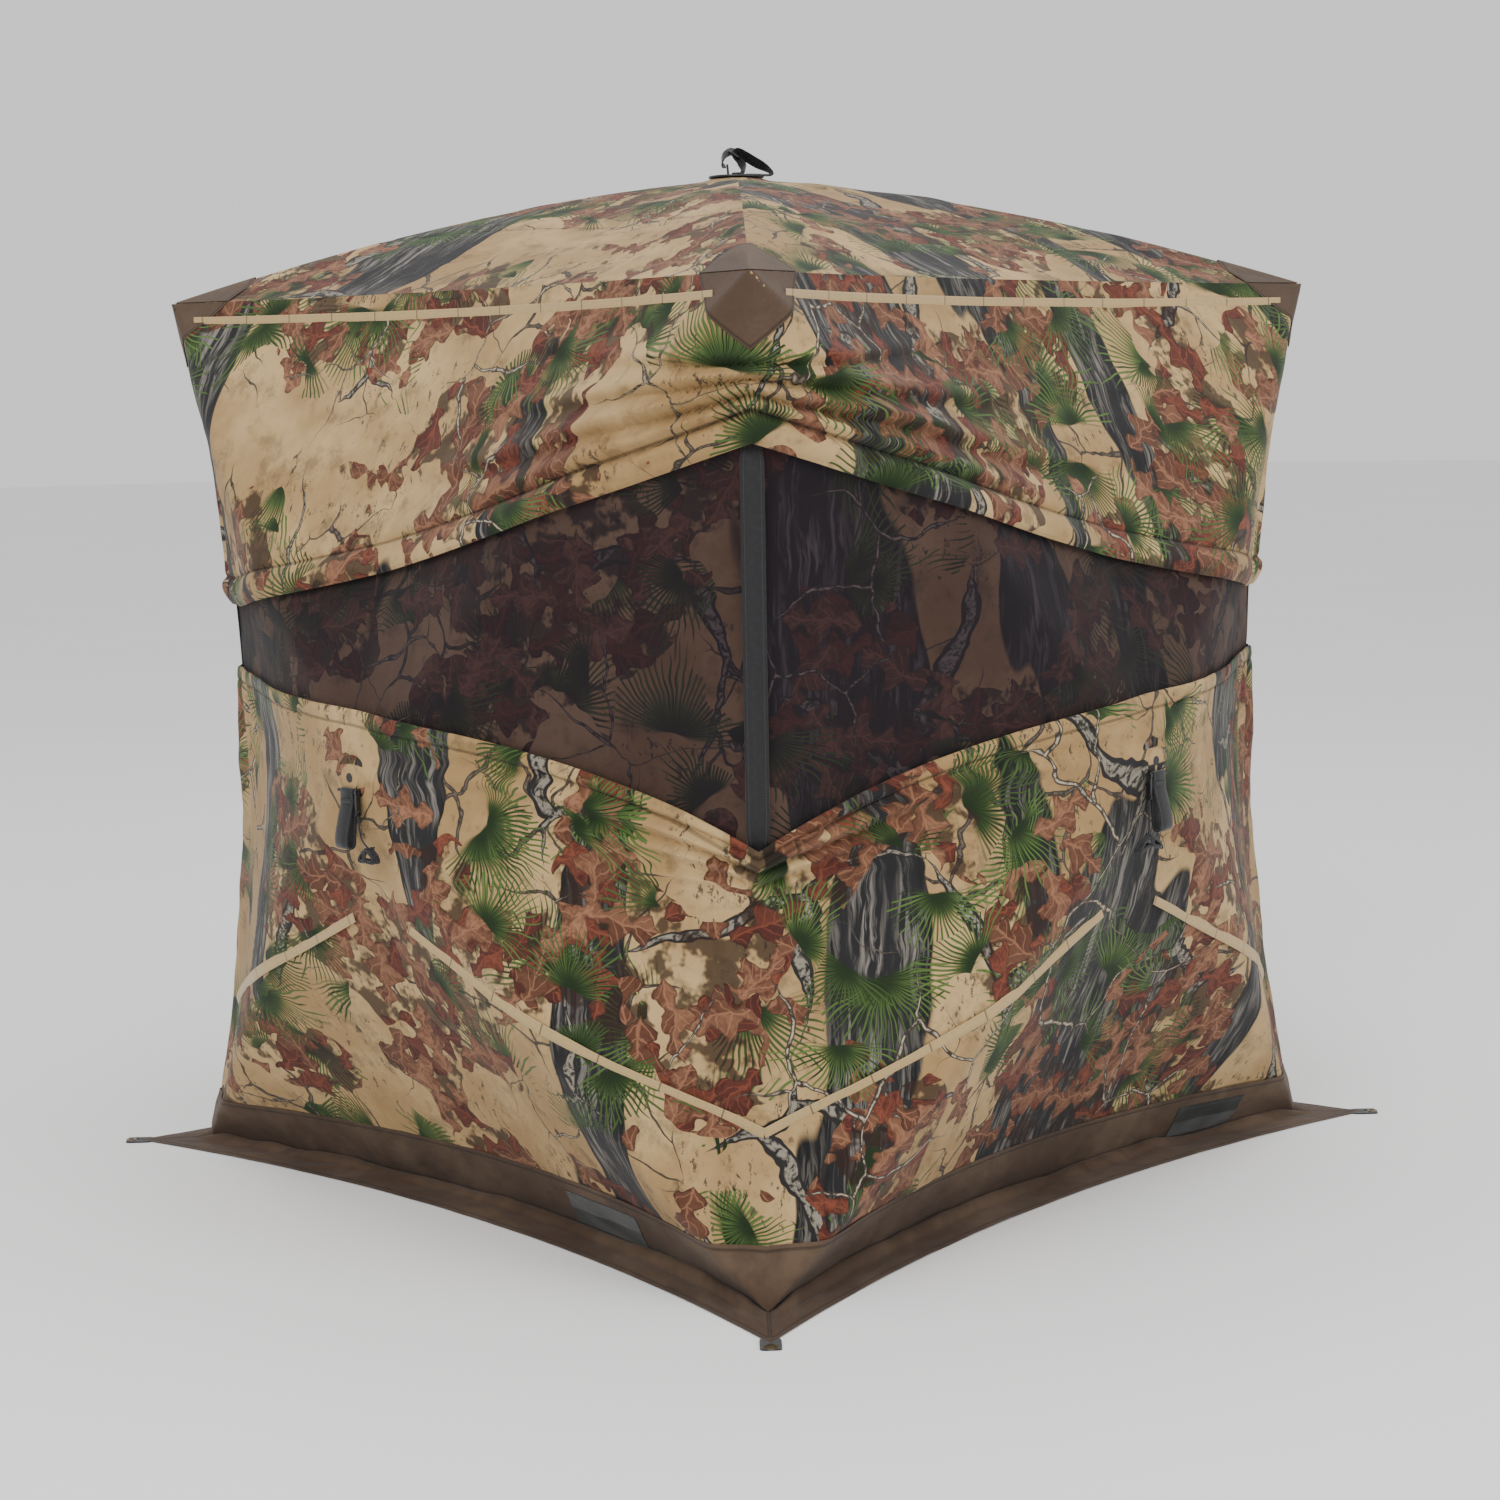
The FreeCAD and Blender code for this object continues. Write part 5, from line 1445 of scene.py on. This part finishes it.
class HubsOperator(bpy.types.Operator):
    """Makes the pull straps and the roof handle, and finishes the hubs, caps, clips and zip slider"""

    bl_idname = "blind.hubs"
    bl_label = "Hubs and straps"

    def execute(self, context):
        sizes = context.scene.blind_sizes
        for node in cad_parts:
            if node.startswith("hub_cap"):
                finish_node(node, "cap")
            elif node.startswith("hub_"):
                finish_node(node, "hub")
            elif node.startswith("line_clip"):
                finish_node(node, "clip")
        finish_node("zip_slider", "slider")
        for k in range(4):
            self.cover(k)
            self.pull_strap(sizes, k)
        self.handle(sizes)
        return {"FINISHED"}

    def cover(self, k):
        """The wall's cap is covered with its cloth: every face of the disc, but not the bar or its posts."""
        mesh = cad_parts["hub_cap_" + WALLS[k]].data
        mesh.materials.append(FINISHES["cover"])
        middle = np.zeros(3 * len(mesh.polygons), np.float32)
        mesh.polygons.foreach_get("center", middle)
        off = middle.reshape(-1, 3) - at_hub(k, 0, 0, 0)
        along, normal = wall_ways(k)
        on_disc = (np.hypot(off @ along, off[:, 2]) > 0.010) & (np.abs(off @ normal) < 0.0052)
        mesh.polygons.foreach_set("material_index", on_disc.astype(np.int32))
        mesh.update()

    def pull_strap(self, sizes, k):
        """A loop of webbing round the bar and a wider bottom turn, with a keeper round it where it is sewn under the
        bar. Each point of the line is its height from the hub's middle and its distance out from the bar's level."""
        bar, low = -0.022, -0.106
        line = [(bar + 0.0045, 0.0), (bar + 0.002, 0.0040), (bar - 0.008, 0.0042), (bar - 0.022, 0.0048),
                (bar - 0.045, 0.0115), (low + 0.010, 0.0185), (low - 0.006, 0.0185), (low - 0.0120, 0.0110),
                (low - 0.007, 0.0030), (low + 0.010, 0.0010), (bar - 0.045, -0.0015), (bar - 0.022, -0.0035),
                (bar - 0.008, -0.0042), (bar + 0.002, -0.0040)]
        line = curve_through(line, 120, closed=True)
        path = at_hub(k, 0 * line[:, 0], line[:, 0], STRAP_LEVEL + line[:, 1])
        loop = carried(path, wall_ways(k)[0], webbing_profile(sizes.pull_strap, sizes.webbing), closed=True)
        side, out = squared_ring(28, sizes.pull_strap / 2 + 0.0004, 0.0062, 0.25, 0.5)
        ring = at_hub(k, side, np.full(28, bar - 0.016), STRAP_LEVEL + out)
        keeper = carried(ring, (0, 0, 1.0), webbing_profile(0.008, 0.0014), closed=True)
        obj = make_piece("pull_strap_loop_" + WALLS[k], [(*loop, 0), (*keeper, 0)], ["webbing"], closed=True)
        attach(obj, "pull_strap_" + WALLS[k])
        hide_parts("pull_strap_" + WALLS[k])

    def handle(self, sizes):
        """A webbing loop on the roof hub: up from the bolt, through a buckle, along to a low tip and back under
        itself, with a tail and a pin beside it. The line lies in the diagonal plane, each point given along the
        diagonal and up, and the webbing leans out of that plane more where it stands high."""
        line = [(0.010, 0.0062), (0.013, 0.014), (0.010, 0.029), (0.001, 0.042), (0.004, 0.047), (0.018, 0.040),
                (0.036, 0.029), (0.054, 0.019), (0.065, 0.011), (0.0665, 0.0062), (0.058, 0.0048), (0.042, 0.0056),
                (0.026, 0.0062)]
        line = curve_through(line, 140, closed=True)
        diagonal = np.array([1.0, 1.0, 0.0]) / math.sqrt(2)
        across = np.array([-1.0, 1.0, 0.0]) / math.sqrt(2)
        upward = np.array([0, 0, 1.0])
        peak = np.array([0, 0, APEX])
        path = peak + line[:, :1] * diagonal + line[:, 1:] * upward
        ahead = np.roll(line, -1, 0) - np.roll(line, 1, 0)
        ahead /= np.linalg.norm(ahead, axis=1, keepdims=True)
        outward = ahead[:, 1:] * diagonal - ahead[:, :1] * upward
        lean = (0.25 + 0.60 * smooth((line[:, 1:] - 0.008) / 0.020)) * math.pi / 4
        width = np.cos(lean) * across + np.sin(lean) * outward
        band = webbing_profile(0.026, sizes.webbing)
        patches = [(*carried(path, width, band, closed=True), 0)]
        tail = [(0.002, 0.046), (-0.010, 0.049), (-0.021, 0.042), (-0.025, 0.030), (-0.022, 0.019)]
        tail = curve_through(tail, 40)
        path = peak + tail[:, :1] * diagonal + tail[:, 1:] * upward
        patches.append((*carried(path, 0.75 * across + 0.66 * upward, webbing_profile(0.023, 0.0024)), 0))
        pin = np.array([[-0.0165, 0.026], [-0.0155, 0.014], [-0.0150, 0.0045]])
        pin = peak + pin[:, :1] * diagonal + pin[:, 1:] * upward
        patches.append((*carried(pin, across, round_profile(0.0022, 10)), 1))
        slant = -0.80 * diagonal + 0.60 * upward
        centre = peak - 0.004 * diagonal + 0.043 * upward
        side, up = squared_ring(40, 0.0165, 0.0115, 0.4, 0.4)
        rim = centre + side[:, None] * across + up[:, None] * slant
        patches.append((*carried(rim, np.cross(across, slant), round_profile(0.0026, 10), closed=True), 1))
        bar = centre + np.linspace(-1, 1, 6)[:, None] * across * 0.016
        patches.append((*carried(bar, slant, round_profile(0.0021, 10)), 1))
        obj = make_piece("roof_handle_loop", patches, ["webbing", "clip"], closed=True)
        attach(obj, "hub_roof")
        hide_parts("roof_handle")


class BlindPanel(bpy.types.Panel):
    """Lists the blind's sizes, colours and pieces"""

    bl_idname = "VIEW3D_PT_ground_blind"
    bl_label = "Ground Blind"
    bl_space_type = "VIEW_3D"
    bl_region_type = "UI"
    bl_category = "Ground Blind"

    def draw(self, context):
        for operator in OPERATORS:
            self.layout.operator(operator.bl_idname)
        for group in (context.scene.blind_sizes, context.scene.blind_colours):
            for name in group.__annotations__:
                self.layout.prop(group, name)


OPERATORS = (StageOperator, LinesOperator, WallsOperator, RoofOperator, SkirtOperator, TrimOperator, RodsOperator,
             HubsOperator)
CLASSES = (BlindSizes, BlindColours, *OPERATORS, BlindPanel)


def register():
    for cls in CLASSES:
        bpy.utils.register_class(cls)
    bpy.types.Scene.blind_sizes = PointerProperty(type=BlindSizes)
    bpy.types.Scene.blind_colours = PointerProperty(type=BlindColours)


def unregister():
    del bpy.types.Scene.blind_colours
    del bpy.types.Scene.blind_sizes
    for cls in reversed(CLASSES):
        bpy.utils.unregister_class(cls)


def main():
    register()
    make_finishes(bpy.context.scene.blind_colours)
    for step in ("stage", "lines", "walls", "roof", "skirt", "trim", "rods", "hubs"):
        getattr(bpy.ops.blind, step)()


if __name__ == "__main__":
    main()
